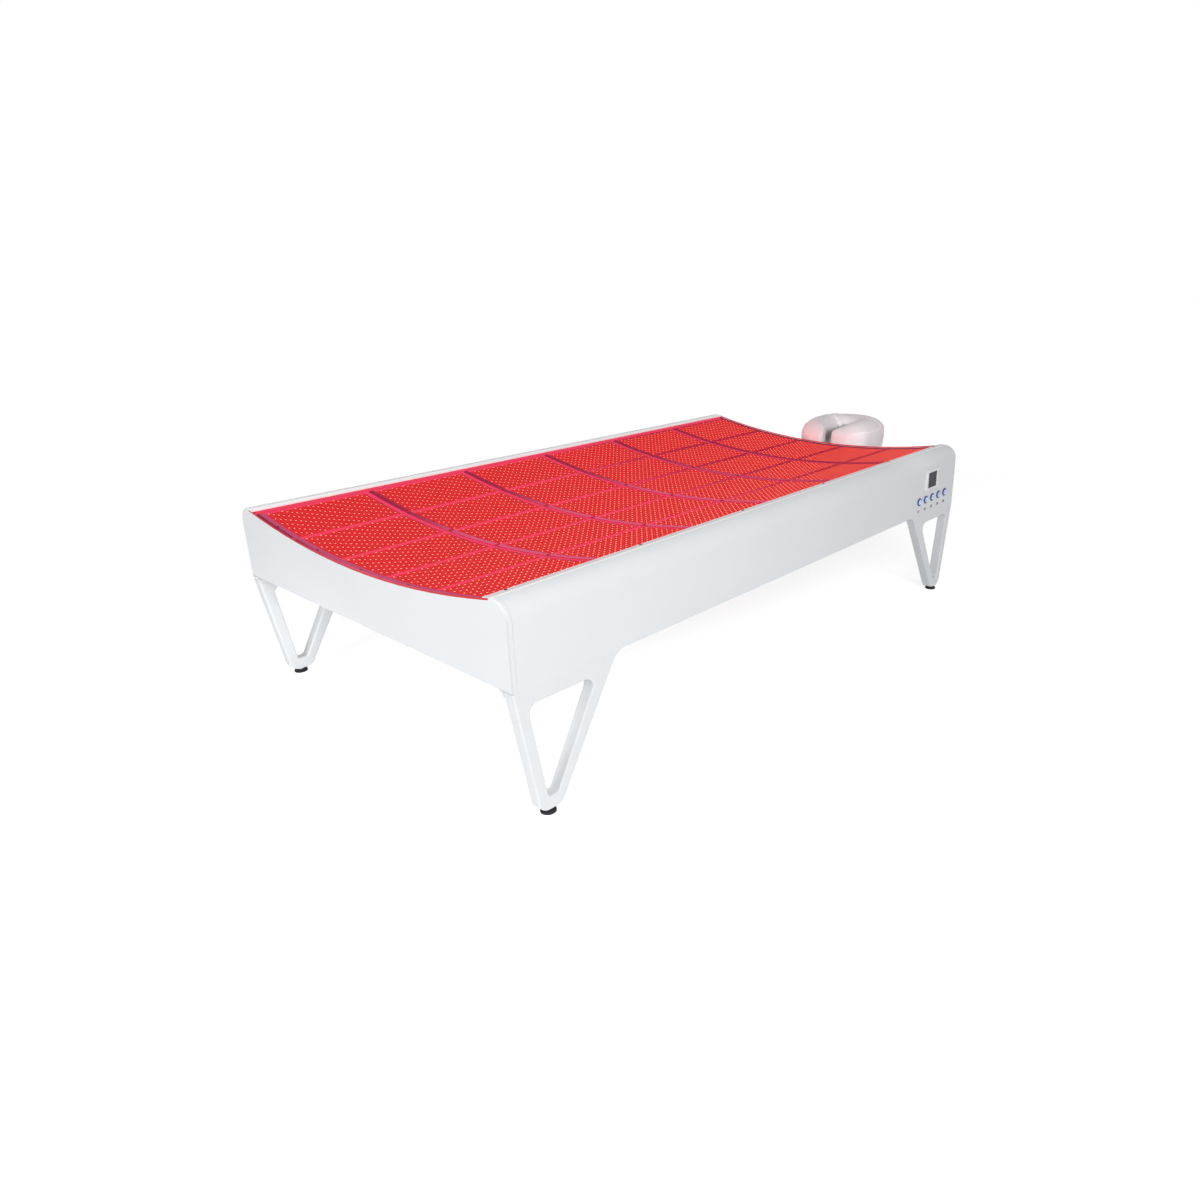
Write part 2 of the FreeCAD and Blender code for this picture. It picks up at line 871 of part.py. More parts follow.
def leg(name, end, side):
    """Triangle frame in the plane of the long side: steep arm at the end, raked arm towards the middle."""
    ground = d.leg_ground
    top = d.body_base
    toe_end = d.leg_toe_start + d.leg_toe_length
    flare_z = top - d.leg_flare_drop
    flare_u = toe_end + (d.leg_top_length - toe_end) * (flare_z - ground) / (top - ground)
    bar = top - d.leg_bar
    notch = ground + d.leg_toe_depth
    notch_end = d.leg_opening_toe_start + d.leg_opening_toe_length

    def at(u, z, *radius):
        return ((half_length - u) * end, z, *(-bend * end for bend in radius))

    outer = [
        at(0, top),
        at(d.leg_toe_start, ground),
        at(toe_end, ground),
        at(flare_u, flare_z, -d.leg_flare_radius),
        at(d.leg_top_length + d.leg_flare_run, top - d.leg_lip),
        at(d.leg_top_length + d.leg_flare_run, top),
    ]
    opening = [
        at(d.leg_arm, bar),
        at(d.leg_opening_toe_start, notch),
        at(notch_end, notch),
        at(d.leg_arm + d.leg_opening_length, bar),
    ]
    inner = half_width * side if side > 0 else -half_width + d.leg_thickness
    body = prism(name, "XZ_Plane", -inner, d.leg_thickness, [outer, opening])

    def corner_of(points):
        spots = [(size(point[0]).value, size(point[1]).value) for point in points]

        def chosen(middle, edge):
            return along_y(edge) and any(math.hypot(middle.x - x, middle.z - z) < 0.01 for x, z in spots)
        return chosen

    round_edges(body, d.leg_toe_radius, corner_of(outer[1:3]))
    round_edges(body, d.leg_notch_radius, corner_of(opening[1:3]))
    round_edges(body, d.leg_inner_radius, corner_of([opening[0], opening[3]]))

    def rim(middle, edge):
        on_face = near(abs(middle.y), half_width) or near(abs(middle.y), half_width - d.leg_thickness)
        return on_face and middle.z < (top - d.leg_lip).value - 0.1

    round_edges(body, d.leg_edge, rim)
    return body


def leg_gusset(name, end, side):
    """Hollow-faced fillet between the leg's inner face and the underside of the body."""
    inner = (half_width - d.leg_thickness) * side
    reach = d.leg_gusset
    corners = [
        (inner, d.body_base),
        (inner - reach * side, d.body_base, -reach * side),
        (inner, d.body_base - reach),
    ]
    length = d.leg_top_length - d.leg_flare_drop
    start = -half_length if end < 0 else half_length - length
    return prism(name, "YZ_Plane", start, length, [corners])


def make_legs():
    bolts = []
    nuts = []
    bolt_heads = d.leg_bolt_head_height
    for x, y in leg_bolt_places():
        shank = rod("bolt_shank", "Z", (x, y, d.body_base - d.leg_bolt_bite), d.leg_bolt,
                    pan_top - d.body_base + d.leg_bolt_bite)
        head = rod("bolt_head", "Z", (x, y, pan_top), d.leg_bolt_head, bolt_heads)
        bolts.append(fuse("bolt", [shank, head]))
    for name, (end, side) in CORNERS.items():
        x, y = foot_place(end, side)
        bore = rod("stud_bore", "Z", (x, y, d.leg_ground - d.fit_gap),
                   d.foot_stud + d.thread_play * 2, d.foot_stud_bite + d.fit_gap * 4)
        bolt_bores = [rod("leg_bolt_bore", "Z", (bolt_x, bolt_y, d.body_base - d.leg_bolt_bite - d.fit_gap),
                          d.leg_bolt + d.screw_play * 2, d.leg_bolt_bite + d.fit_gap * 2)
                      for bolt_x, bolt_y in leg_bolt_places()]
        frame = leg(f"leg_{name}_frame", end, side)
        gusset = leg_gusset(f"leg_{name}_gusset", end, side)
        whole = fuse(f"leg_{name}_whole", [frame, gusset])
        node(cut(f"leg_{name}_cut", whole, [bore] + bolt_bores), f"leg_{name}")
        nut_low = d.foot_pad_height + d.thread_play
        nut = rod("nut_blank", "Z", (x, y, nut_low), d.lock_nut, d.leg_ground - nut_low)
        hole = rod("nut_bore", "Z", (x, y, nut_low - d.fit_gap),
                   d.foot_stud + d.thread_play * 2, d.leg_ground)
        nuts.append(cut("nut", nut, [hole]))
        stud = rod(f"stud_{name}", "Z", (x, y, d.foot_pad_height), d.foot_stud,
                   d.leg_ground - d.foot_pad_height + d.foot_stud_bite)
        node(stud, f"foot_stud_{name}")
        node(foot_pad(f"pad_{name}", x, y), f"foot_pad_{name}")
    node(group("bolts", bolts), "leg_bolts")
    node(group("nuts", nuts), "foot_lock_nuts")


def foot_pad(name, x, y):
    """Turned pad: flat rim on the floor, cone up to the hub that seats the stud."""
    body = new_body(name)
    sketch = new_sketch(body, "XZ_Plane", 0)
    outline(sketch, [
        (0, 0),
        (d.foot_pad / 2, 0),
        (d.foot_pad / 2, d.foot_rim_height),
        (d.foot_hub / 2, d.foot_pad_height),
        (0, d.foot_pad_height),
    ])
    turned = body.newObject("PartDesign::Revolution", name + "_turned")
    turned.Profile = sketch
    turned.ReferenceAxis = (sketch, ["V_Axis"])
    return place(body, x, y, 0)


# controls


def display_box(play):
    """Corners of the display module, opened out by a play all round."""
    middle = half_length - d.display_inset
    half = d.display_width / 2 + d.display_border + play
    tall = d.display_tall / 2 + d.display_border + play
    front = -half_width - d.bezel_proud + d.display_recess
    low = (middle - half, front, display_height - tall)
    return low, (middle + half, front + d.display_depth, display_height + tall)


def button_places():
    last = half_length - d.button_inset
    return [last - d.button_pitch * (BUTTONS - 1 - number) for number in range(BUTTONS)]


def rectangle(middle, height, width, tall):
    return [
        (middle - width / 2, height - tall / 2),
        (middle + width / 2, height - tall / 2),
        (middle + width / 2, height + tall / 2),
        (middle - width / 2, height + tall / 2),
    ]


def make_display():
    middle = half_length - d.display_inset
    front = -half_width - d.bezel_proud
    frame = rectangle(middle, display_height, d.bezel_width, d.bezel_tall)
    window = rectangle(middle, display_height, d.display_width, d.display_tall)
    bezel = prism("bezel", "XZ_Plane", half_width, d.bezel_proud, [frame, window])
    frame_edges = [(middle + d.bezel_width / 2 * a, display_height + d.bezel_tall / 2 * b)
                   for a in (-1, 1) for b in (-1, 1)]

    def frame_corner(spot, edge):
        return along_y(edge) and any(near(spot.x, x) and near(spot.z, z) for x, z in frame_edges)

    round_edges(bezel, d.bezel_corner, frame_corner)

    def front_edge(spot, edge):
        return near(spot.y, front)

    round_edges(bezel, d.bezel_edge, front_edge)
    rebate = box("bezel_rebate", *display_box(d.fit_gap / 2))
    node(cut("bezel_cut", bezel, [rebate]), "display_bezel")
    node(box("display_block", *display_box(0)), "display_module")


def make_buttons():
    face = -half_width
    height = button_height
    rings = []
    blocks = []
    barrel_end = face + d.ring_length
    bore = d.button + d.slide_play * 2
    stem_bore = d.button_stem + d.slide_play * 2
    block_end = barrel_end + d.switch_depth
    for number, x in enumerate(button_places(), 1):
        front = (x, face - d.ring_proud, height)
        flange = rod("ring_flange_disc", "Y", front, d.ring_flange, d.ring_proud)
        barrel = rod("ring_barrel_tube", "Y", (x, face, height), d.ring_barrel, d.ring_length)
        before = (x, face - d.ring_proud - d.skin, height)
        hole = rod("ring_bore", "Y", before, bore, d.ring_length + d.skin * 3)
        rings.append(cut("ring", fuse("ring_blank", [flange, barrel]), [hole]))
        half = d.switch_block / 2
        block_low = (x - half, barrel_end, height - half)
        block = box("switch_blank", block_low, (x + half, block_end, height + half))
        well = rod("switch_well", "Y", (x, barrel_end - d.fit_gap, height), stem_bore,
                   d.button_travel + d.fit_gap * 3)
        blocks.append(cut("switch", block, [well]))
        node(push_button(f"push_{number}", x, barrel_end), f"button_{number}")
    node(group("rings", rings), "button_rings")
    node(group("switches", blocks), "switch_blocks")
    first = button_places()[0] - d.switch_block / 2 - d.switch_board_margin
    last = button_places()[-1] + d.switch_block / 2 + d.switch_board_margin
    tall = d.switch_block / 2 + d.switch_board_margin
    board = box("button_card", (first, block_end, height - tall),
                (last, block_end + d.switch_board_thickness, height + tall))
    node(board, "button_board")


def push_button(name, x, seat):
    """Round cap with a rolled front edge, on a stem that reaches the switch."""
    front = -half_width - d.button_proud
    back = front + d.button_length
    body = new_body(name)
    cap = new_sketch(body, "XZ_Plane", -back)
    circles(cap, [(x, button_height)], d.button)
    pad(body, cap, d.button_length)
    stem = new_sketch(body, "XZ_Plane", -seat)
    circles(stem, [(x, button_height)], d.button_stem)
    pad(body, stem, seat - back)

    def front_edge(spot, edge):
        return near(spot.y, front)

    round_edges(body, d.button_edge, front_edge)
    return body


# power and control inside the body


def supply_places():
    return [d.supply_pitch * (number - (SUPPLIES - 1) / 2) for number in range(SUPPLIES)]


def board_panel_place():
    return half_length - d.board_panel_offset, -d.supply_width * 2


def standoff_places():
    x, y = board_panel_place()
    reach_x = d.board_panel_length / 2 - d.standoff_inset
    reach_y = d.board_panel_width / 2 - d.standoff_inset
    return [(x + reach_x * a, y + reach_y * b) for a in (-1, 1) for b in (-1, 1)]


def make_electrics():
    half = d.supply_length / 2
    across = d.supply_width / 2
    for number, x in enumerate(supply_places(), 1):
        high = (x + half, across, pan_top + d.supply_height)
        block = box(f"supply_{number}_case", (x - half, -across, pan_top), high)
        node(block, f"power_supply_{number}")
    x, y = board_panel_place()
    z = pan_top + d.standoff_height
    low = (x - d.board_panel_length / 2, y - d.board_panel_width / 2, z)
    high = (x + d.board_panel_length / 2, y + d.board_panel_width / 2, z + d.board_panel_thickness)
    node(box("control_card", low, high), "control_board")


def inlet_box(play, back, front):
    """Corners of the inlet's body between two planes, opened out by a play all round."""
    half = d.inlet_width / 2 - d.inlet_border + play
    tall = d.inlet_tall / 2 - d.inlet_border + play
    low = (back, d.inlet_offset - half, inlet_height - tall)
    return low, (front, d.inlet_offset + half, inlet_height + tall)


def make_inlet():
    """Mains inlet with three pins in its socket, beside the well of the rocker switch."""
    face = half_length + d.inlet_flange
    back = half_length - d.inlet_depth
    z = inlet_height
    half = d.inlet_width / 2
    tall = d.inlet_tall / 2
    plate_low = (half_length, d.inlet_offset - half, z - tall)
    flange = box("inlet_plate", plate_low, (face, d.inlet_offset + half, z + tall))
    block = fuse("inlet_blank", [flange, box("inlet_block", *inlet_box(0, back, half_length))])
    socket_y = d.inlet_offset - d.socket_shift
    floor = face - d.socket_depth
    socket = box("socket_well", (floor, socket_y - d.socket_width / 2, z - d.socket_tall / 2),
                 (face + d.skin, socket_y + d.socket_width / 2, z + d.socket_tall / 2))
    rocker_y = d.inlet_offset + d.rocker_shift
    well_tall = d.rocker_half + d.rocker_play * 2
    well_half = d.rocker_width / 2 + d.rocker_play
    well = box("rocker_well", (face - d.rocker_root * 2, rocker_y - well_half, z - well_tall),
               (face + d.skin, rocker_y + well_half, z + well_tall))
    hollow = cut("inlet_hollow", block, [socket, well])
    pins_in = []
    for spread, rise in ((-1, 0), (0, 1), (1, 0)):
        y = socket_y + d.pin_spread * spread
        low = z - d.pin_drop + d.pin_drop * rise
        pins_in.append(box("pin", (floor, y - d.pin_width / 2, low - d.pin_tall / 2),
                           (floor + d.pin_length, y + d.pin_width / 2, low + d.pin_tall / 2)))
    node(fuse("inlet", [hollow] + pins_in), "mains_inlet")
    rocker = prism("rocker", "XZ_Plane", -d.rocker_width / 2, d.rocker_width, [[
        (-d.rocker_root, -d.rocker_half * 0.7),
        (d.rocker_rise, -d.rocker_half),
        (d.rocker_dish, 0),
        (d.rocker_rise, d.rocker_half),
        (-d.rocker_root, d.rocker_half * 0.7),
    ]])
    lying = FreeCAD.Rotation(FreeCAD.Vector(0, 1, 0), 1)
    rocker.Placement = FreeCAD.Placement(FreeCAD.Vector(), lying)
    bind(rocker, "Placement.Rotation.Angle", d.rocker_tilt)
    node(place(rocker, face, rocker_y, z), "rocker_switch")


# face rest

face_rest_x = half_length + d.bush_flange_thickness + d.crossbar_gap
pivot_x = face_rest_x + d.crossbar_depth / 2
crossbar_top = rod_height + d.crossbar_height / 2
pivot_z = crossbar_top + d.hub_gap + d.hub / 2
plate_base = pivot_z + d.plate_rise
cushion_base = plate_base + d.plate_thickness + d.cushion_rest_gap
cushion_front = half_length + d.cushion_gap
crown_x = cushion_front + d.cushion_length - d.cushion_width / 2
ear_inner = d.crossbar_half - d.ear_thickness
wrap_base = cushion_base - d.cushion_wrap
wrap_front = pivot_x + d.lever_length + d.lever_depth / 2 + d.wrap_clear


def make_bushes():
    bushes = []
    nuts = []
    inner_end = half_length - d.rod_bite
    for side in (-1, 1):
        y = d.rod_spread * side
        tube = rod("bush_tube", "X", (inner_end, y, rod_height), d.bush, d.rod_bite)
        face = (half_length, y, rod_height)
        disc = rod("bush_disc", "X", face, d.bush_flange, d.bush_flange_thickness)
        bore = rod("bush_bore", "X", (inner_end - d.skin, y, rod_height), d.rod + d.rod_play * 2,
                   d.rod_bite + d.bush_flange_thickness + d.skin * 2)
        bushes.append(cut("bush", fuse("bush_blank", [tube, disc]), [bore]))
        nut_x = half_length - d.skin - d.bush_nut_thickness
        ring = rod("bush_nut_blank", "X", (nut_x, y, rod_height), d.bush_nut, d.bush_nut_thickness)
        hole = rod("bush_nut_bore", "X", (nut_x - d.skin, y, rod_height), d.bush + d.screw_play,
                   d.bush_nut_thickness + d.skin * 2)
        nuts.append(cut("bush_nut", ring, [hole]))
    node(group("bushes", bushes), "rod_bushes")
    node(group("bush_nuts", nuts), "bush_nuts")


def make_slide():
    """Two rods in a crossbar with an ear at each end for the tilt pin."""
    rods = [rod("slide_rod", "X", (half_length - d.rod_bite, d.rod_spread * side, rod_height), d.rod,
                d.rod_bite + d.bush_flange_thickness + d.crossbar_gap + d.crossbar_depth) for side in (-1, 1)]
    node(group("rods", rods), "slide_rods")
    half = d.crossbar_half
    low = rod_height - d.crossbar_height / 2
    bar_high = (face_rest_x + d.crossbar_depth, half, crossbar_top)
    pieces = [box("crossbar_bar", (face_rest_x, -half, low), bar_high)]
    for start in (-half, ear_inner):
        web_low = (pivot_x - d.ear_radius, start, crossbar_top)
        web_high = (pivot_x + d.ear_radius, start + d.ear_thickness, pivot_z)
        pieces.append(box("ear_web", web_low, web_high))
        pieces.append(rod("ear_eye", "Y", (pivot_x, start, pivot_z), d.ear_radius * 2, d.ear_thickness))
    holes = [rod("crossbar_bore", "X", (face_rest_x - d.skin, d.rod_spread * side, rod_height),
                 d.rod + d.rod_play * 2, d.crossbar_depth + d.skin * 2) for side in (-1, 1)]
    holes.append(rod("ear_bore", "Y", (pivot_x, -half - d.skin, pivot_z), d.tilt_pin + d.rod_play * 2,
                     half * 2 + d.skin * 2))
    node(cut("crossbar", fuse("crossbar_blank", pieces), holes), "crossbar")


def make_tilt():
    """Hub tube between the ears with two arms under the plate, its pin, and the clamp lever beside it."""
    reach = ear_inner - d.side_play
    tube = rod("tilt_tube", "Y", (pivot_x, -reach, pivot_z), d.hub, reach * 2)
    arms = []
    for side in (-1, 1):
        middle = (reach - d.tilt_arm_width / 2) * side
        low = (pivot_x, middle - d.tilt_arm_width / 2, plate_base - d.tilt_arm_depth)
        high = (pivot_x + d.tilt_arm_reach, middle + d.tilt_arm_width / 2, plate_base)
        arms.append(box("tilt_arm_bar", low, high))
    bore = rod("tilt_bore", "Y", (pivot_x, -reach - d.skin, pivot_z), d.tilt_pin + d.rod_play * 2,
               reach * 2 + d.skin * 2)
    node(cut("tilt_frame", fuse("tilt_blank", [tube] + arms), [bore]), "tilt_arms")
    lever_low = -d.crossbar_half - d.side_play - d.lever_width
    shank = rod("pin_shank", "Y", (pivot_x, lever_low, pivot_z), d.tilt_pin,
                d.crossbar_half + d.side_play - lever_low)
    head = rod("pin_head_disc", "Y", (pivot_x, d.crossbar_half + d.side_play, pivot_z), d.pin_head,
               d.pin_head_thickness)
    node(fuse("pin", [shank, head]), "tilt_pin")
    eye = rod("lever_eye", "Y", (pivot_x, lever_low, pivot_z), d.lever_hub, d.lever_width)
    arm_low = (pivot_x, lever_low, pivot_z - d.lever_depth / 2)
    arm_high = (pivot_x + d.lever_length, lever_low + d.lever_width, pivot_z + d.lever_depth / 2)
    arm = box("lever_arm", arm_low, arm_high)
    tip = rod("lever_tip", "Y", (pivot_x + d.lever_length, lever_low, pivot_z), d.lever_depth, d.lever_width)
    lever_bore = rod("lever_bore", "Y", (pivot_x, lever_low - d.skin, pivot_z), d.tilt_pin + d.rod_play * 2,
                     d.lever_width + d.skin * 2)
    node(cut("lever", fuse("lever_blank", [eye, arm, tip]), [lever_bore]), "clamp_lever")


def plate_outline(inset):
    """Horseshoe open towards the bed, this far inside the cushion's own outline."""
    outer = d.cushion_width / 2 - inset
    inner = d.cushion_width / 2 - d.cushion_arm + inset
    front = cushion_front + inset
    return [
        (front, -outer),
        (crown_x, -outer, outer),
        (crown_x + outer, 0, outer),
        (crown_x, outer),
        (front, outer),
        (front, inner),
        (crown_x, inner, -inner),
        (crown_x + inner, 0, -inner),
        (crown_x, -inner),
        (front, -inner),
    ]


def make_plate():
    front = cushion_front + d.plate_inset
    body = prism("plate", "XY_Plane", plate_base, d.plate_thickness, [plate_outline(d.plate_inset)])

    def front_corner(spot, edge):
        return near(spot.x, front) and near(edge.Length, d.plate_thickness)

    round_edges(body, d.plate_corner, front_corner)
    node(body, "cradle_plate")


def cushion_section(middle, outward, inner, outer, top):
    """Closed section of the stuffed horseshoe: flat base, bulging sides up to the seam, crowned top."""
    half = (outer - inner) / 2
    draw_in = min(d.cushion_draw_in.value, half * 0.3)
    wrap = d.cushion_wrap.value
    seam_height = min(d.cushion_seam_height.value + wrap, top - d.cushion_nose_crown.value)

    def at(reach, height):
        across = outward * ((inner + outer) / 2 + reach)
        return middle + across + FreeCAD.Vector(0, 0, wrap_base.value + height)

    seam = half - draw_in / 2
    rest = half - draw_in
    edges = [
        Part.LineSegment(at(-rest, 0), at(rest, 0)),
        Part.Arc(at(rest, 0), at(half, seam_height * 0.5), at(seam, seam_height)),
        Part.Arc(at(seam, seam_height), at(0, top), at(-seam, seam_height)),
        Part.Arc(at(-seam, seam_height), at(-half, seam_height * 0.5), at(-rest, 0)),
    ]
    return Part.Wire([edge.toShape() for edge in edges])


def rounding(radius, reach):
    """How far a round corner falls short of its square at a reach from the corner's front."""
    left = max(radius - reach, 0)
    return radius - math.sqrt(radius * radius - left * left)


def cushion_stations():
    """Half of the horseshoe, from the nose of the near arm to the middle of the crown."""
    wide = d.cushion_width.value / 2
    hole = wide - d.cushion_arm.value
    full = d.cushion_height.value + d.cushion_wrap.value
    arm = crown_x.value - cushion_front.value
    rise = d.cushion_nose_rise.value
    stations = []
    for turn in (0, 15, 30, 45, 60, 75, 90):
        reach = rise * (1 - math.cos(math.radians(turn)))
        lean = d.cushion_lean.value * (1 - reach / arm) ** 2
        inner = hole - lean + rounding(d.cushion_inner_corner.value, reach)
        outer = wide - rounding(d.cushion_outer_corner.value, reach)
        top = full - rounding(rise, reach) * d.cushion_nose_drop.value / rise
        middle = FreeCAD.Vector(cushion_front.value + reach, 0, 0)
        stations.append((middle, FreeCAD.Vector(0, -1, 0), inner, outer, top))
    crown = FreeCAD.Vector(crown_x.value, 0, 0)
    seam = -d.cushion_seam_angle.value
    for angle in (-90, seam - 6, seam, seam + 6, -45, -25, -8):
        outward = FreeCAD.Vector(math.cos(math.radians(angle)), math.sin(math.radians(angle)), 0)
        pinch = d.cushion_seam_pinch.value if angle == seam else 0
        stations.append((crown, outward, hole + pinch, wide - pinch, full - pinch))
    return stations


def make_cushion():
    """The stuffed horseshoe, hollowed below for the plate and cut back in front for the arms and lever."""
    near_half = cushion_stations()
    far_half = [(middle, FreeCAD.Vector(outward.x, -outward.y, 0), *reaches)
                for middle, outward, *reaches in reversed(near_half)]
    sections = [cushion_section(*station) for station in near_half + far_half]
    cushion = doc.addObject("Part::Feature", "cushion")
    cushion.Shape = Part.makeLoft(sections, True, False)
    low = wrap_base - d.skin
    around_plate = plate_outline(d.plate_inset - d.wrap_play)
    pocket = prism("plate_pocket", "XY_Plane", low, cushion_base - low, [around_plate])
    slope = wrap_front + d.cushion_wrap
    side = d.cushion_width / 2 + d.skin
    front = cushion_front - d.skin
    opening = prism("front_opening", "XZ_Plane", -side, side * 2, [[
        (front, low),
        (slope, low),
        (slope, wrap_base),
        (wrap_front, cushion_base),
        (front, cushion_base),
    ]])
    node(cut("wrapped_cushion", cushion, [pocket, opening]), "face_cushion")


def check_and_write():
    doc.recompute()
    failed = [thing.Name for thing in doc.Objects if {"Invalid", "Error"} & set(thing.State)]
    failed += [thing.Label for thing in nodes if thing.Shape.isNull() or not thing.Shape.isValid()]
    if failed:
        raise RuntimeError("not built: " + ", ".join(failed))
    os.makedirs("parts", exist_ok=True)
    for thing in nodes:
        thing.Shape.exportStep(f"parts/{thing.Label}.step")
        box_of = thing.Shape.BoundBox
        print(f"{thing.Label}: {len(thing.Shape.Solids)} solids, {thing.Shape.Volume / 1000:.1f} cm3, "
              f"x {box_of.XMin:.1f}..{box_of.XMax:.1f} y {box_of.YMin:.1f}..{box_of.YMax:.1f} "
              f"z {box_of.ZMin:.1f}..{box_of.ZMax:.1f}")


make_shell()
make_base_pan()
make_deck()
make_cover()
make_legs()
make_display()
make_buttons()
make_electrics()
make_inlet()
make_bushes()
make_slide()
make_tilt()
make_plate()
make_cushion()
check_and_write()
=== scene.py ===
"""Looks of the red light therapy bed: finishes, diodes, button marks, cushion, light, camera."""
import math

import bmesh
import bpy
import numpy as np
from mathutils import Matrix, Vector
from mathutils.bvhtree import BVHTree


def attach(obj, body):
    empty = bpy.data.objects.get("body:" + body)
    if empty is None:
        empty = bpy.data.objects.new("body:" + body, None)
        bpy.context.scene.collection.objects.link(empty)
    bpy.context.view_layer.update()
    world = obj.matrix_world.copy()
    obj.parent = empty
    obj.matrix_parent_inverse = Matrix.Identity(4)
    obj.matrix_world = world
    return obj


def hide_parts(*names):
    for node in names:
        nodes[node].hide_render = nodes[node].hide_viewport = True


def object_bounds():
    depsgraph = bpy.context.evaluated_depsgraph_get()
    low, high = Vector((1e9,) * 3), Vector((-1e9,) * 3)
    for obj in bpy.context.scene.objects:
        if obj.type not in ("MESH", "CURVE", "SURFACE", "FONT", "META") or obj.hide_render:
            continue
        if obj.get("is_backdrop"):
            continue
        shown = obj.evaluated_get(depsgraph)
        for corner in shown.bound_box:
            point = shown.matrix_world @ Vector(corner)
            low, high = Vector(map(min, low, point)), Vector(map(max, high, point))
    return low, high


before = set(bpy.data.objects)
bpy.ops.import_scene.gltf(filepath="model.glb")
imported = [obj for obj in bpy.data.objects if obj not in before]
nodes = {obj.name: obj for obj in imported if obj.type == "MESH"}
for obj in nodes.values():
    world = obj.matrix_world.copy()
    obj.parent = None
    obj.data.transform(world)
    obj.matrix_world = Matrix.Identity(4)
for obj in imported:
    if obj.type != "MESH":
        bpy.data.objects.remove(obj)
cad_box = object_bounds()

MM = 0.001
scene = bpy.context.scene

# Lengths below are in millimetres about the bed's own centre line, unless they say metres.
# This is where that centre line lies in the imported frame.
BED_X, BED_Y = -167, 3

# The hollow deck
DECK_AXIS = 2973
DECK_END = 973
BOARD_TOP = 2529
BOARD_TURN = math.radians(4.43139)
COVER_BASE = 2525
ROW_PITCH = 326.4
FIRST_ROW = -971.5
ROWS = 6
COLUMNS = (-2, -1, 0, 1, 2)

# Diodes on a board, counted along and across it
DIODES_ALONG, ALONG_PITCH = 32, 9.0
DIODES_ACROSS, ACROSS_PITCH = 20, 8.9
FIRST_DIODE = 23
AMBER_STEP = 4
# FOOT_BAND: depth of the painted mauve glow at the first row's foot end.
FOOT_BAND = 25

# Where the look of the side panels and rim strips changes, out from the centre line
STRIP_INNER_EDGE = (487, 493)
LEDGE_EDGE = (496, 502)
STRIP_OUTER_EDGE = (508.5, 510)
# RIM_FOLD and FOLD_WIDTH place the painted highlight on the fold of the panel rims.
RIM_FOLD = 513
FOLD_WIDTH = (2.0, 3.2)

# The buttons and what is printed under them
BUTTONS = (1, 2, 3, 4, 5)
BUTTON_X, BUTTON_PITCH, BUTTON_Z, BUTTON_FRONT = 718, 46, 357, -562.5
BUTTON_RING = (7.2, 7.8)
MARK_PROUD, MARK_SUNK = 0.25, 0.15
PANEL_FRONT, NUMBER_Z, NUMBER_TALL = -558.5, 325, 9
NUMBER_DEPTH, NUMBER_SWELL = 0.1, 0.35
NUMBER_SHARE = 0.7

# The face cushion
CROWN_X, CROWN_OUTER, CROWN_HOLE = 1159.5, 150, 38
CUSHION_BASE = 436.8
CUSHION_FRONT, CUSHION_TALL = 1009.5, 84
NOSE_DROP, NOSE_RISE, NOSE_CROWN = 48, 110, 8
SEAM_HEIGHT = 54
SEAM_TURN = math.radians(72)

CORNERS = ("foot_near", "foot_far", "head_near", "head_far")

BLACK = (0, 0, 0)
PANEL_WHITE = (0.84, 0.86, 0.885)
STRIP_WHITE = (0.82, 0.785, 0.80)


def spot(x, y, z):
    """A point given in the bed's own millimetres, in the frame's metres."""
    return Vector((x + BED_X, y + BED_Y, z)) * MM


def button_middle(number):
    return BUTTON_X + BUTTON_PITCH * (number - 1)


def dimmed(colour, share):
    return tuple(part * share for part in colour)


# shader wires


class Wire:
    """A value on a shader socket. Arithmetic on it adds Math nodes."""

    def __init__(self, finish, socket):
        self.finish = finish
        self.socket = socket

    def maths(self, operation, *others):
        return self.finish.maths(operation, self, *others)

    def __add__(self, other):
        return self.maths("ADD", other)

    def __sub__(self, other):
        return self.maths("SUBTRACT", other)

    def __rsub__(self, other):
        return self.finish.maths("SUBTRACT", other, self)

    def __mul__(self, other):
        return self.maths("MULTIPLY", other)

    def __truediv__(self, other):
        return self.maths("DIVIDE", other)

    def __mod__(self, other):
        return self.maths("FLOORED_MODULO", other)

    def __pow__(self, other):
        return self.maths("POWER", other)

    def __lt__(self, other):
        return self.maths("LESS_THAN", other)

    def __gt__(self, other):
        return self.maths("GREATER_THAN", other)

    def __or__(self, other):
        return self.maths("MAXIMUM", other)

    def __neg__(self):
        return self.maths("MULTIPLY", -1)

    def __abs__(self):
        return self.maths("ABSOLUTE")

    def __round__(self):
        return self.maths("ROUND")

    __radd__ = __add__
    __rmul__ = __mul__


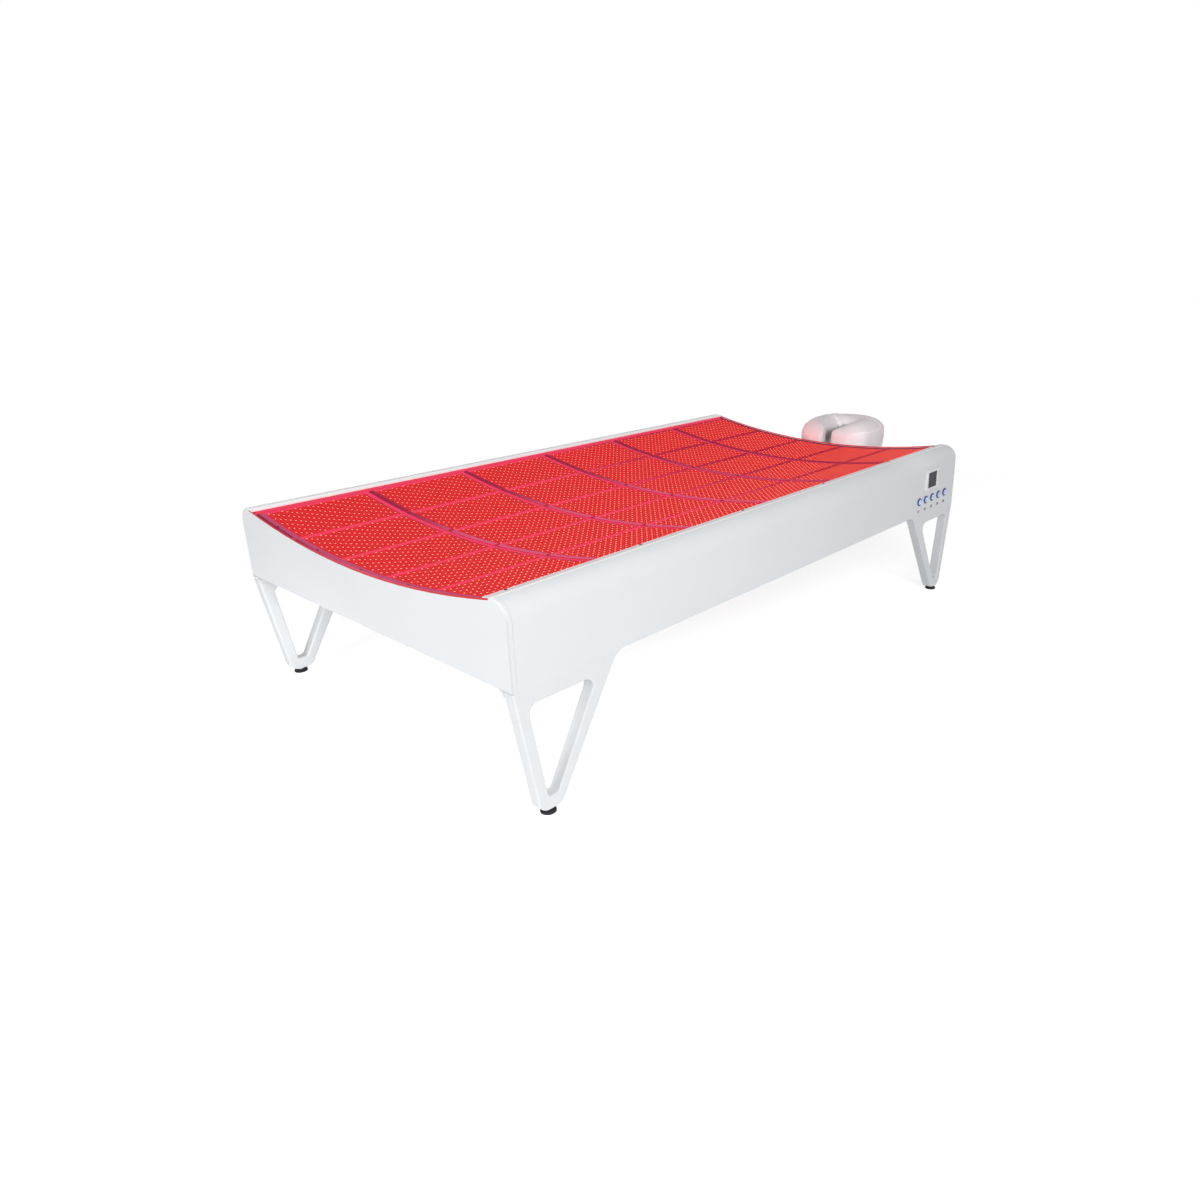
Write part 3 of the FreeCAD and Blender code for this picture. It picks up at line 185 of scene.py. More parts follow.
class Finish:
    """One material, or the sky, and the nodes in it."""

    def __init__(self, tree, ending):
        self.tree = tree
        tree.nodes.clear()
        self.ending = tree.nodes.new(ending)

    def node(self, kind, settings=None, sockets=None, out=0):
        made = self.tree.nodes.new("ShaderNode" + kind)
        for name, value in (settings or {}).items():
            setattr(made, name, value)
        for name, value in (sockets or {}).items():
            if isinstance(value, Wire):
                self.tree.links.new(value.socket, made.inputs[name])
            else:
                made.inputs[name].default_value = value
        return Wire(self, made.outputs[out])

    def maths(self, operation, *values):
        return self.node("Math", {"operation": operation}, dict(enumerate(values)))

    def place(self):
        return self.node("TexCoord", out="Object")

    def split(self, vector, letters="XYZ"):
        """Parts of a vector along these axes."""
        parts = self.node("SeparateXYZ", None, {0: vector}).socket.node.outputs
        return [Wire(self, parts[letter]) for letter in letters]

    def axes(self, letters="XYZ"):
        """Where a point lies along these axes of the frame, in metres."""
        return self.split(self.place(), letters)

    def facing(self, letters="XYZ"):
        """How far a surface looks along these axes, from -1 to 1."""
        return self.split(self.node("NewGeometry", out="Normal"), letters)

    def noise(self, size, detail=2.0, stretch=(1, 1, 1)):
        """Cloudy values from 0 to 1, with clouds of this size in millimetres."""
        scale = [1 / (size * MM * part) for part in stretch]
        place = self.node("VectorMath", {"operation": "MULTIPLY"}, {0: self.place(), 1: scale})
        return self.node("TexNoise", None, {"Vector": place, "Scale": 1.0, "Detail": detail})

    def cells(self, size, feature="F1", out="Distance"):
        """Voronoi cells of this size in millimetres."""
        sockets = {"Vector": self.place(), "Scale": 1 / (size * MM)}
        return self.node("TexVoronoi", {"feature": feature}, sockets, out)

    def step(self, value, low, high):
        """0 below low, 1 above high, smooth between."""
        sockets = {"Value": value, "From Min": low, "From Max": high}
        return self.node("MapRange", {"interpolation_type": "SMOOTHSTEP"}, sockets)

    def mix(self, share, first, second):
        sockets = {0: share, 6: paint(first), 7: paint(second)}
        return self.node("Mix", {"data_type": "RGBA"}, sockets, 2)

    def bump(self, height, depth, strength=1.0):
        """Relief of this depth in millimetres."""
        sockets = {"Strength": strength, "Distance": depth * MM, "Height": height}
        return self.node("Bump", None, sockets)

    def coat(self, **sockets):
        """The Principled surface, with its socket names written with low lines.

        Emission has a strength of 1 unless another is given."""
        if "emission_color" in sockets:
            sockets.setdefault("emission_strength", 1.0)
        named = {}
        for name, value in sockets.items():
            named[name.replace("_", " ").title().replace("Ior", "IOR")] = value
        self.end(self.node("BsdfPrincipled", None, named))

    def end(self, shader):
        self.tree.links.new(shader.socket, self.ending.inputs["Surface"])


def paint(colour):
    return colour if isinstance(colour, Wire) else (*colour, 1.0)


def new_finish(name):
    material = bpy.data.materials.new(name)
    material.use_nodes = True
    return material, Finish(material.node_tree, "ShaderNodeOutputMaterial")


# finishes


def painted_panel_light(f, base, colour, glow):
    """Base and emission colours of a panel that reaches under the cover.

    It has a painted red glow there for the light of the boards, a painted highlight along the fold
    of its rim, and painted shade where it turns a corner."""
    x, y, z = f.axes()
    side, down = y / MM - BED_Y, DECK_AXIS - z / MM
    depth = (side * side + down * down) ** 0.5 - COVER_BASE
    inside = (abs(x / MM - BED_X) < DECK_END) * (1 - f.step(abs(side), *LEDGE_EDGE))
    # Painted red light: under the cover the panel glows with the light of the boards.
    flood = f.step(depth, -1.0, 0.5) * inside
    ahead, aside, up = f.facing()
    rim = up > 0.8
    # Painted shade: the folds where the panel turns a corner are greyer.
    corner = ahead * ahead * aside * aside * 4
    beside_strip = (1 - f.step(abs(side), *STRIP_OUTER_EDGE)) * rim
    # Painted highlight along the fold of the rim: a paler base colour and a faint glow.
    rim_highlight = (1 - f.step(abs(abs(side) - RIM_FOLD), *FOLD_WIDTH)) * rim
    base = f.mix(corner, base, dimmed(colour, 0.72))
    base = f.mix(beside_strip * 0.8, base, STRIP_WHITE)
    base = f.mix(rim_highlight, base, (0.97, 0.97, 0.97))
    base = f.mix(flood, base, dimmed(glow, 0.3))
    gleam = f.mix(rim_highlight, BLACK, (0.10, 0.10, 0.10))
    return base, f.mix(flood, gleam, glow)


def powder_coat(name, colour, scuff_height=0.0, glow=None):
    """Satin powder coat: faint orange peel, slight cloudiness, and scuffs below a height in metres.

    With a glow, the red light of the boards under the cover is painted in, with a painted highlight
    along the rim's fold and painted shade on its corner folds."""
    material, f = new_finish(name)
    cloud = f.noise(220, 3)
    peel = f.noise(2.6, 1)
    base = f.mix(cloud, colour, dimmed(colour, 0.955))
    if scuff_height:
        [height] = f.axes("Z")
        marks = f.step(f.noise(9, 4, (1, 1, 3)), 0.58, 0.72)
        scuffs = marks * (1 - f.step(height, 0, scuff_height))
        base = f.mix(scuffs * 0.35, base, (0.42, 0.41, 0.40))
    lit = {}
    if glow:
        base, lit["emission_color"] = painted_panel_light(f, base, colour, glow)
    f.coat(
        **lit,
        base_color=base,
        roughness=0.42 + cloud * 0.08 + peel * 0.06,
        specular_ior_level=0.35,
        normal=f.bump(peel, 0.05, 0.35),
        coat_weight=0.04,
        coat_roughness=0.3,
    )
    return material


def painted_strip():
    """The white strips that hold the cover down: smooth, with fine drawn lines along them.

    The far strip is painted lighter, with a faint painted glow, and both have a painted red glow
    along the deck for the light of the boards."""
    material, f = new_finish("rim_strip_white")
    lines = f.noise(1.4, 2, (60, 1, 1))
    cloud = f.noise(120, 2)
    [y] = f.axes("Y")
    # Painted light: the far strip is lighter and glows faintly.
    far = y > 0
    # Painted red light along the edge by the deck.
    deck_red_glow = 1 - f.step(abs(y / MM - BED_Y), *STRIP_INNER_EDGE)
    near_white = f.mix(cloud, STRIP_WHITE, dimmed(STRIP_WHITE, 0.95))
    gleam = f.mix(far, BLACK, (0.17, 0.16, 0.165))
    f.coat(
        base_color=f.mix(far, near_white, (0.95, 0.93, 0.94)),
        roughness=0.40 + lines * 0.12,
        normal=f.bump(lines, 0.03, 0.3),
        emission_color=f.mix(deck_red_glow, gleam, (0.22, 0.02, 0.04)),
    )
    return material


def board_places(f):
    """Millimetres along and across the board that a deck point lies on."""
    x, y, z = f.axes()
    along = (x / MM - (BED_X + FIRST_ROW)) % ROW_PITCH
    turn = (y / MM - BED_Y).maths("ARCTAN2", DECK_AXIS - z / MM)
    across = (turn - round(turn / BOARD_TURN) * BOARD_TURN) * BOARD_TOP
    return along, across


def board_lacquer():
    """Red lacquered circuit boards with a pad round each diode.

    A painted glow between the diodes stands in for their light on the board: pinker at the long
    margins with a painted shadow line beside each field's near edge and dimmer at the row ends,
    painted darker towards the head end, and mauve in a band at the foot end, where it stands in
    for the lit bar seen through the cover."""
    material, f = new_finish("board_lacquer_red")
    along, across = board_places(f)
    half_field = (DIODES_ACROSS - 1) / 2 * ACROSS_PITCH
    half_run = (DIODES_ALONG - 1) / 2 * ALONG_PITCH
    past_run = abs(along - (FIRST_DIODE + half_run)) - half_run
    margin = f.step((abs(across) - half_field) | past_run, 2.4, 3.4)
    # Painted pink glow on the long margins, leaving a painted shadow line just outside each field's
    # near edge.
    far_margin = f.step(across, half_field + 2, half_field + 3)
    near_margin = f.step(-across, half_field + 5, half_field + 6)
    bright = far_margin | near_margin
    # Dimmer painted glow where the long margins reach the row ends.
    row_end = f.step(past_run, 8, 13) * bright

    step_along = (along - FIRST_DIODE + ALONG_PITCH / 2) % ALONG_PITCH - ALONG_PITCH / 2
    half_board = DIODES_ACROSS / 2 * ACROSS_PITCH
    step_across = (across + half_board) % ACROSS_PITCH - ACROSS_PITCH / 2
    reach = (step_along * step_along + step_across * step_across) ** 0.5
    pad = (1 - f.step(reach, 2.9, 3.7)) * (1 - margin)
    track = (1 - f.step(abs(step_across), 0.25, 0.45)) * (1 - margin)

    [x] = f.axes("X")
    # Painted shade: the glow dims towards the head end.
    painted_head_dimming = f.step(x, -0.4, 0.4)
    # Painted mauve glow at the foot end, standing in for the lit bar seen through the cover.
    band = 1 - f.step(x / MM - (BED_X + FIRST_ROW), FOOT_BAND, FOOT_BAND + 1)
    cloud = f.noise(90, 2)
    red = f.mix(track * 0.35 + cloud * 0.3, (0.13, 0.005, 0.005), (0.09, 0.004, 0.004))
    # Painted glow between the diodes, brighter on each pad.
    glow = f.mix(pad * 0.7, (0.60, 0.018, 0.024), (0.72, 0.032, 0.038))
    pink = f.mix(painted_head_dimming, (0.78, 0.052, 0.100), (0.34, 0.013, 0.036))
    crimson = f.mix(painted_head_dimming, (0.55, 0.020, 0.034), (0.40, 0.014, 0.028))
    edge = f.mix(row_end, f.mix(bright, crimson, pink), (0.20, 0.010, 0.028))
    f.coat(
        base_color=f.mix(margin | band, red, (0.16, 0.010, 0.022)),
        roughness=0.45 + cloud * 0.10 - pad * 0.12,
        specular_ior_level=0.0,
        normal=f.bump(track * 0.5 + pad, 0.08, 0.5),
        emission_color=f.mix(band, f.mix(margin, glow, edge), (0.40, 0.070, 0.150)),
    )
    return material


def diode_lens(name, body, core, base, strength):
    """A lit lens: hotter towards its tip, a little uneven from one diode to the next."""
    material, f = new_finish(name)
    [up] = f.facing("Z")
    tip = f.step(up, 0.45, 0.90)
    [level] = f.split(f.cells(ALONG_PITCH * 1.3, out="Color"), "X")
    f.coat(
        base_color=paint(base),
        roughness=0.30 + tip * 0.1,
        specular_ior_level=0.0,
        emission_color=f.mix(tip * (0.75 + level * 0.25), body, core),
        emission_strength=strength,
    )
    material.cycles.emission_sampling = "NONE"
    return material


def clear_acrylic():
    """The clear cover: faint gloss on its faces, its cut ends painted red with a painted glow for
    the light carried in the sheet; the strong head-end glow also throws red light onto the face
    cushion.
    """
    material, f = new_finish("cover_acrylic")
    [headways] = f.facing("X")
    head_end = f.step(headways, 0.7, 0.9)
    foot_end = f.step(-headways, 0.7, 0.9)
    cut_end = head_end | foot_end
    gloss = f.node("Fresnel", None, {"IOR": 1.2})
    haze = f.noise(160, 3)
    # Painted glow of the cut ends, strong at the head end.
    foot_glow = f.mix(foot_end, BLACK, (0.34, 0.010, 0.010))
    f.coat(
        base_color=f.mix(cut_end, (0.60, 0.03, 0.04), (0.30, 0.008, 0.008)),
        roughness=0.10 + haze * 0.06,
        specular_ior_level=0.2,
        alpha=(gloss * 0.015 + 0.004) | (cut_end * 0.95),
        emission_color=f.mix(head_end, foot_glow, (3.5, 0.14, 0.18)),
    )
    return material


def rose_glow(name, colour, glow):
    """Metal below the boards, in a rose colour with a glow, both painted in for the red light of
    the boards.
    """
    material, f = new_finish(name)
    cloud = f.noise(60, 3)
    peel = f.noise(2.6, 1)
    f.coat(
        base_color=f.mix(cloud, colour, dimmed(colour, 0.85)),
        roughness=0.45 + peel * 0.1,
        specular_ior_level=0.0,
        normal=f.bump(peel, 0.05, 0.3),
        emission_color=f.mix(cloud, glow, dimmed(glow, 0.8)),
    )
    return material


def bar_paint():
    """Bars across the board ends: dark plum, with a painted glow for the light of the boards,
    brighter and more mauve towards the near foot corner.
    """
    material, f = new_finish("end_bar_plum")
    cloud = f.noise(60, 3)
    x, y = f.axes("XY")
    # Painted light: the glow grows brighter and more mauve towards the near foot corner.
    mauve = (1 - f.step(y, 0.0, 0.35)) * (1 - f.step(x, -0.2, 0.6))
    f.coat(
        base_color=f.mix(cloud, (0.05, 0.010, 0.025), (0.04, 0.008, 0.020)),
        roughness=0.5 + cloud * 0.1,
        specular_ior_level=0.0,
        emission_color=f.mix(mauve, (0.26, 0.018, 0.050), (0.64, 0.095, 0.190)),
    )
    return material


def screw_black(name, far_white=False):
    """Blackened screw heads. Those on the far side can be painted over white."""
    material, f = new_finish(name)
    cloud = f.noise(4, 2)
    colour = f.mix(cloud, (0.012, 0.010, 0.018), (0.020, 0.016, 0.026))
    if far_white:
        [y] = f.axes("Y")
        colour = f.mix(y > 0.3, colour, (0.90, 0.88, 0.89))
    f.coat(base_color=colour, roughness=0.5 + cloud * 0.2, specular_ior_level=0.05)
    return material


def brushed_metal(name, colour, rough=0.32, stretch=(40, 1, 1), metal=1.0):
    """Drawn or brushed metal with long fine scratches."""
    material, f = new_finish(name)
    lines = f.noise(0.9, 3, stretch)
    cloud = f.noise(60, 2)
    f.coat(
        base_color=f.mix(lines * 0.6 + cloud * 0.4, colour, dimmed(colour, 0.86)),
        roughness=rough + lines * 0.14 - cloud * 0.06,
        metallic=metal,
        normal=f.bump(lines, 0.02, 0.3),
    )
    return material


def moulded_plastic(name, colour, rough=0.45, grain=0.8, relief=0.06):
    """Moulded plastic or rubber with a fine spark grain."""
    material, f = new_finish(name)
    pits = f.cells(grain)
    cloud = f.noise(25, 2)
    f.coat(
        base_color=f.mix(cloud, colour, dimmed(colour, 0.82)),
        roughness=rough + cloud * 0.10,
        normal=f.bump(pits, relief, 0.4),
    )
    return material


def circuit_lacquer():
    """Green lacquered board with copper tracks under the lacquer."""
    material, f = new_finish("circuit_lacquer")
    maze = f.noise(14, 1, (1, 0.35, 1))
    tracks = f.step(abs(maze * 14 % 1 - 0.5), 0.30, 0.36)
    f.coat(
        base_color=f.mix(tracks, (0.010, 0.115, 0.045), (0.030, 0.190, 0.080)),
        roughness=0.36 - tracks * 0.08,
        normal=f.bump(tracks, 0.05, 0.5),
    )
    return material


def birch_ply():
    """Birch plywood: pale long grain, darker bands on the cut edge."""
    material, f = new_finish("plate_birch")
    ply = 1.5 * MM
    [z] = f.axes("Z")
    [up] = f.facing("Z")
    grain = f.noise(2.2, 4, (22, 1, 1))
    cloud = f.noise(40, 2, (4, 1, 1))
    flat = abs(up) > 0.6
    layers = f.step(abs(z / ply % 2 - 1), 0.4, 0.6) * (1 - flat)
    face = f.mix(grain * 0.6 + cloud * 0.4, (0.62, 0.46, 0.30), (0.44, 0.29, 0.16))
    f.coat(
        base_color=f.mix(layers * 0.7, face, (0.26, 0.15, 0.07)),
        roughness=0.50 + grain * 0.15,
        normal=f.bump(grain, 0.06, 0.4),
    )
    return material


def leatherette(name, colour, shade):
    """Soft leatherette with a pebbled grain and faint handling marks, with painted shade in the
    face gap between the arms.
    """
    material, f = new_finish(name)
    x, y, z = f.axes()
    between_arms = 1 - f.step(abs(y / MM - BED_Y), 24, 46)
    below_top = 1 - f.step(z, 0.45, 0.50)
    # Painted shade: dark grey in the gap between the arms.
    gap = between_arms * below_top * f.step(x, 0.868, 0.898)
    pebbles = f.cells(1.6, "SMOOTH_F1")
    creases = f.noise(14, 4)
    cloud = f.noise(70, 3)
    tone = f.step(cloud * 0.7 + creases * 0.3, 0.3, 0.7)
    f.coat(
        base_color=f.mix(gap, f.mix(tone, colour, shade), (0.10, 0.09, 0.10)),
        roughness=0.40 + pebbles * 0.12 + cloud * 0.06,
        normal=f.bump(pebbles * 0.6 + creases * 0.8, 0.35, 0.45),
    )
    return material


def screen_glass():
    """Unlit display behind glass: dark slate with a fine grid of dots."""
    material, f = new_finish("display_slate")
    pitch = 0.9 * MM
    x, z = f.axes("XZ")
    rows = abs(z / pitch % 1 - 0.5)
    columns = abs(x / pitch % 1 - 0.5)
    grid = f.step(rows | columns, 0.36, 0.48)
    cloud = f.noise(50, 2)
    slate = f.mix(cloud, (0.040, 0.039, 0.060), (0.062, 0.059, 0.085))
    f.coat(
        base_color=f.mix(grid * 0.5, slate, (0.030, 0.030, 0.044)),
        roughness=0.22 + cloud * 0.08,
        specular_ior_level=0.1,
    )
    return material


def button_face(number):
    """Back-lit push button: pale lilac, with a blue ring near its edge."""
    material, f = new_finish(f"button_{number}_blue")
    x, z = f.axes("XZ")
    aside, up = x / MM - (button_middle(number) + BED_X), z / MM - BUTTON_Z
    ring = f.step((aside * aside + up * up) ** 0.5, *BUTTON_RING)
    cloud = f.noise(6, 2)
    pale = f.mix(cloud, (0.82, 0.88, 0.97), (0.88, 0.92, 0.98))
    f.coat(
        base_color=f.mix(ring, pale, (0.08, 0.20, 0.72)),
        roughness=0.28 + ring * 0.08,
        emission_color=f.mix(ring, (0.20, 0.23, 0.28), (0.02, 0.06, 0.26)),
    )
    return material


# pieces made here


def new_piece(name, points, faces, material, body, slot):
    mesh = bpy.data.meshes.new(name)
    mesh.from_pydata(points, [], faces)
    mesh.validate()
    mesh.materials.append(material)
    piece = bpy.data.objects.new(name, mesh)
    scene.collection.objects.link(piece)
    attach(piece, body)
    return piece


# Radius and height of the rings of points of a diode, and the height of its tip
DIODE_RINGS = ((2.4, 0.0), (2.2, 0.6))
DIODE_TIP = 1.1
DIODE_SIDES = 8


def diode_shape():
    """Points and faces of one diode lens, in millimetres: two rings of points and a tip."""
    points = []
    for radius, height in DIODE_RINGS:
        points += [(x, y, height) for x, y in round_outline(radius, DIODE_SIDES)]
    points.append((0, 0, DIODE_TIP))
    faces = []
    for side in range(DIODE_SIDES):
        beside = (side + 1) % DIODE_SIDES
        faces.append((side, beside, DIODE_SIDES + beside, DIODE_SIDES + side))
        faces.append((DIODE_SIDES + side, DIODE_SIDES + beside, 2 * DIODE_SIDES))
    return np.array(points), faces


def diode_field(row, red_lens, amber_lens):
    """All diodes of a row of boards as one piece: every fourth on each diagonal glows amber.

    The first line at the foot end is left out, under the painted mauve glow band."""
    shape, faces = diode_shape()
    points, rims, lenses = [], [], []
    for column in COLUMNS:
        for along in range(0 if row else 1, DIODES_ALONG):
            for across in range(DIODES_ACROSS):
                shift = (across - (DIODES_ACROSS - 1) / 2) * ACROSS_PITCH
                turn = column * BOARD_TURN + shift / BOARD_TOP
                x = FIRST_ROW + ROW_PITCH * row + FIRST_DIODE + along * ALONG_PITCH
                side, up = math.sin(turn), math.cos(turn)
                reach = BOARD_TOP - shape[:, 2]
                y = reach * side + shape[:, 1] * up
                z = DECK_AXIS - reach * up + shape[:, 1] * side
                first = len(points) * len(shape)
                points.append(np.stack([x + BED_X + shape[:, 0], y + BED_Y, z], 1))
                rims += [[first + corner for corner in face] for face in faces]
                amber = (along + across) % AMBER_STEP == 0
                lenses += [int(amber)] * len(faces)
    name = f"diodes_row_{row + 1}"
    piece = new_piece(name, np.concatenate(points) * MM, rims, red_lens, "bed", "board_red")
    piece.data.materials.append(amber_lens)
    piece.data.polygons.foreach_set("material_index", lenses)
    piece.data.shade_smooth()


def raised_mark(name, outlines, middle, front, material, body, slot):
    """Flat shapes a little proud of a face that looks towards -Y.

    Each is a pair of outlines, of which the second is a hole or None."""
    points, faces = [], []
    for outer, inner in outlines:
        count = len(outer)
        first = len(points)
        loops = [outer] if inner is None else [outer, inner]
        for depth in (-MARK_PROUD, MARK_SUNK):
            for loop in loops:
                points += [spot(middle[0] + x, front + depth, middle[1] + z) for x, z in loop]
        layer = count * len(loops)
        for side in range(count):
            beside = (side + 1) % count
            for loop in range(len(loops)):
                low, high = first + loop * count, first + layer + loop * count
                wall = (low + side, high + side, high + beside, low + beside)
                faces.append(wall if loop == 0 else wall[::-1])
            if inner is not None:
                hole = first + count
                faces.append((first + side, first + beside, hole + beside, hole + side))
        if inner is None:
            faces.append(tuple(range(first, first + count)))
    new_piece(name, points, faces, material, body, slot)


def round_outline(radius, sides=40):
    angles = [2 * math.pi * side / sides for side in range(sides)]
    return [(radius * math.cos(angle), radius * math.sin(angle)) for angle in angles]


def bar_outline(left, low, right, high):
    return [(left, low), (right, low), (right, high), (left, high)]


BUTTON_SIGNS = {
    1: [(bar_outline(-1.2, -4.4, 1.2, 4.4), None)],
    2: [([(-4.4, -2.9), (4.4, -2.9), (0, 4.5)], None)],
    3: [([(4.4, 2.9), (-4.4, 2.9), (0, -4.5)], None)],
    4: [(bar_outline(-3.6, -4.0, -1.2, 4.0), None), (bar_outline(1.2, -4.0, 3.6, 4.0), None)],
    5: [(round_outline(4.4), round_outline(2.2))],
}


def button_marks(ink):
    for number, signs in BUTTON_SIGNS.items():
        middle = (button_middle(number), BUTTON_Z)
        name = f"button_{number}_mark"
        raised_mark(name, signs, middle, BUTTON_FRONT, ink, f"button_{number}", "button_blue")


def button_numbers(ink):
    """Plain numbers printed under the buttons."""
    for number in BUTTONS:
        words = bpy.data.curves.new(f"button_number_{number}", "FONT")
        words.body = f"0{number}"
        words.size = NUMBER_TALL / NUMBER_SHARE * MM
        words.align_x = "CENTER"
        words.extrude = NUMBER_DEPTH * MM
        words.offset = NUMBER_SWELL * MM
        words.materials.append(ink)
        label = bpy.data.objects.new(words.name, words)
        foot = NUMBER_Z - NUMBER_TALL / 2
        label.location = spot(button_middle(number), PANEL_FRONT - NUMBER_DEPTH, foot)
        label.rotation_euler = (math.pi / 2, 0, 0)
        scene.collection.objects.link(label)
        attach(label, "bed")


# the face cushion

# The even mesh that is stuffed: its grid, how far it starts inside the solid, and how far it
# may swell
CUSHION_GRID, CUSHION_SHRINK, CUSHION_SWELL = 4, 1.5, 4
STUFFING_PRESSURE, STUFFING_FRAMES = 4.0, 20
# The lowest part of the cushion is held, and let go over this height
HOLD_HEIGHT, HOLD_FADE = 6, 24

# The far arm's outer corner sags outside a circle, most by this share of its height
SAG_MIDDLE = (1093.5, 66)
SAG_START, SAG_REACH = 36, 48
SAG_AFTER, SAG_FADE = 30, 80
SAG_SHARE = 0.32

# Radii of the sewn lines, and how far the stitching lies below the piping
PIPING_RADIUS, STITCH_RADIUS, STITCH_DROP = 2.6, 0.9, 4
SEAMS = (("near", -1, 1.7), ("far", 1, 2.2))
PIPING_TURN = SEAM_TURN * 1.8
PIPING_POINTS, SEAM_POINTS = 140, 40
# Rays that find the skin start this far out, in metres, or this far up
RAY_OUT, RAY_UP = 0.4, 200
SEAM_INNER, SEAM_OUTER = CROWN_HOLE + 6, CROWN_OUTER - 3


def point_array(mesh):
    points = np.zeros(len(mesh.vertices) * 3)
    mesh.vertices.foreach_get("co", points)
    return points.reshape(-1, 3)


def set_points(mesh, places):
    mesh.vertices.foreach_set("co", places.ravel())
    mesh.update()


def apply_modifiers(piece):
    graph = bpy.context.evaluated_depsgraph_get()
    graph.update()
    mesh = bpy.data.meshes.new_from_object(piece.evaluated_get(graph))
    piece.modifiers.clear()
    piece.data = mesh


def stuffed_cushion(material):
    """The face cushion: a slightly smaller copy of its solid, inflated by a cloth simulation."""
    solid = nodes["face_cushion"]
    cushion = bpy.data.objects.new("soft_face_cushion", solid.data.copy())
    cushion.data.materials.clear()
    cushion.data.materials.append(material)
    scene.collection.objects.link(cushion)
    remesh = cushion.modifiers.new("even", "REMESH")
    remesh.mode = "VOXEL"
    remesh.voxel_size = CUSHION_GRID * MM
    shrink = cushion.modifiers.new("shrink", "DISPLACE")
    shrink.strength = -CUSHION_SHRINK * MM
    shrink.mid_level = 0.0
    apply_modifiers(cushion)
    inflate(cushion)
    soften = cushion.modifiers.new("soften", "SMOOTH")
    soften.factor = 0.4
    soften.iterations = 2
    smooth = cushion.modifiers.new("smooth", "SUBSURF")
    smooth.levels = 1
    smooth.render_levels = 1
    apply_modifiers(cushion)
    sag(cushion)
    cushion.data.shade_smooth()
    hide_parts("face_cushion")
    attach(cushion, "face_rest")
    return cushion


def inflate(cushion):
    start = point_array(cushion.data)
    cloth = cushion.modifiers.new("stuffing", "CLOTH")
    cloth.settings.use_pressure = True
    cloth.settings.uniform_pressure_force = STUFFING_PRESSURE
    cloth.settings.quality = 6
    cloth.settings.effector_weights.gravity = 0
    for number in range(1, STUFFING_FRAMES + 1):
        scene.frame_set(number)
    apply_modifiers(cushion)
    scene.frame_set(1)
    move = point_array(cushion.data) - start
    length = np.linalg.norm(move, axis=1, keepdims=True)
    height = start[:, 2] / MM - CUSHION_BASE
    free = np.clip((height - HOLD_HEIGHT) / HOLD_FADE, 0, 1)[:, None]
    move *= np.minimum(1.0, CUSHION_SWELL * MM / np.maximum(length, 1e-9)) * free
    fill_out(cushion, start + move)


def fill_out(cushion, places):
    """Bring points that fell inside the cushion's solid back out to its surface."""
    graph = bpy.context.evaluated_depsgraph_get()
    solid = BVHTree.FromObject(nodes["face_cushion"], graph)
    for number, place in enumerate(places):
        nearest, facing = solid.find_nearest(Vector(place))[:2]
        if (Vector(place) - nearest).dot(facing) < 0:
            places[number] = nearest
    set_points(cushion.data, places)


def sag(cushion):
    """Let the top of the far arm's outer corner fall away a little."""
    places = point_array(cushion.data)
    x, y = places[:, 0] / MM - BED_X, places[:, 1] / MM - BED_Y
    middle_x, middle_y = SAG_MIDDLE
    corner = np.hypot(np.minimum(x - middle_x, 0), np.maximum(y - middle_y, 0))
    outward = np.clip((corner - SAG_START) / SAG_REACH, 0, 1) ** 2
    outward *= np.clip((middle_x + SAG_AFTER - x) / SAG_FADE, 0, 1)
    height = places[:, 2] - CUSHION_BASE * MM
    places[:, 2] -= np.maximum(height, 0) * outward * (y > 0) * SAG_SHARE
    set_points(cushion.data, places)


def sewn_line(name, points, material, radius):
    """A round line of thread or piping along these points."""
    curve = bpy.data.curves.new(name, "CURVE")
    curve.dimensions = "3D"
    curve.bevel_depth = radius * MM
    curve.bevel_resolution = 3
    curve.use_fill_caps = True
    line = curve.splines.new("POLY")
    line.points.add(len(points) - 1)
    for point, place in zip(line.points, points):
        point.co = (*place, 1.0)
    curve.materials.append(material)
    piece = bpy.data.objects.new(name, curve)
    scene.collection.objects.link(piece)
    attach(piece, "face_rest")


def seam_height(x):
    """Height of the side seam above the cushion's base: it drops with the top towards the noses."""
    left = min(max(1 - (x - CUSHION_FRONT) / NOSE_RISE, 0), 1)
    top = CUSHION_TALL - NOSE_DROP * (1 - math.sqrt(1 - left * left))
    return min(SEAM_HEIGHT, top - NOSE_CROWN)


def cushion_seams(cushion, material, thread):
    """Piping and stitching round the side of the cushion, and a seam across each shoulder; the grey
    stitching also paints in the line of shade under the piping.
    """
    graph = bpy.context.evaluated_depsgraph_get()
    skin = BVHTree.FromObject(cushion, graph)
    ring = []
    for turn in np.linspace(-PIPING_TURN, PIPING_TURN, PIPING_POINTS):
        out = Vector((math.cos(turn), math.sin(turn), 0))
        x = CROWN_X + min(0, CROWN_OUTER * out.x / abs(out.y or 1))
        start = spot(CROWN_X, 0, CUSHION_BASE + seam_height(x)) + out * RAY_OUT
        place = skin.ray_cast(start, -out)[0]
        if place is not None:
            ring.append(place)
    sewn_line("cushion_piping", ring, material, PIPING_RADIUS)
    under = [place - Vector((0, 0, STITCH_DROP * MM)) for place in ring]
    sewn_line("cushion_stitching", under, thread, STITCH_RADIUS)
    for name, sign, radius in SEAMS:
        out = Vector((math.cos(SEAM_TURN), sign * math.sin(SEAM_TURN), 0))
        seam = []
        for reach in np.linspace(SEAM_INNER, SEAM_OUTER, SEAM_POINTS):
            start = spot(CROWN_X, 0, CUSHION_BASE + RAY_UP) + out * (reach * MM)
            place, facing = skin.ray_cast(start, Vector((0, 0, -1)))[:2]
            if place is not None and facing.z > 0:
                seam.append(place)
        sewn_line(f"cushion_seam_{name}", seam, material, radius)


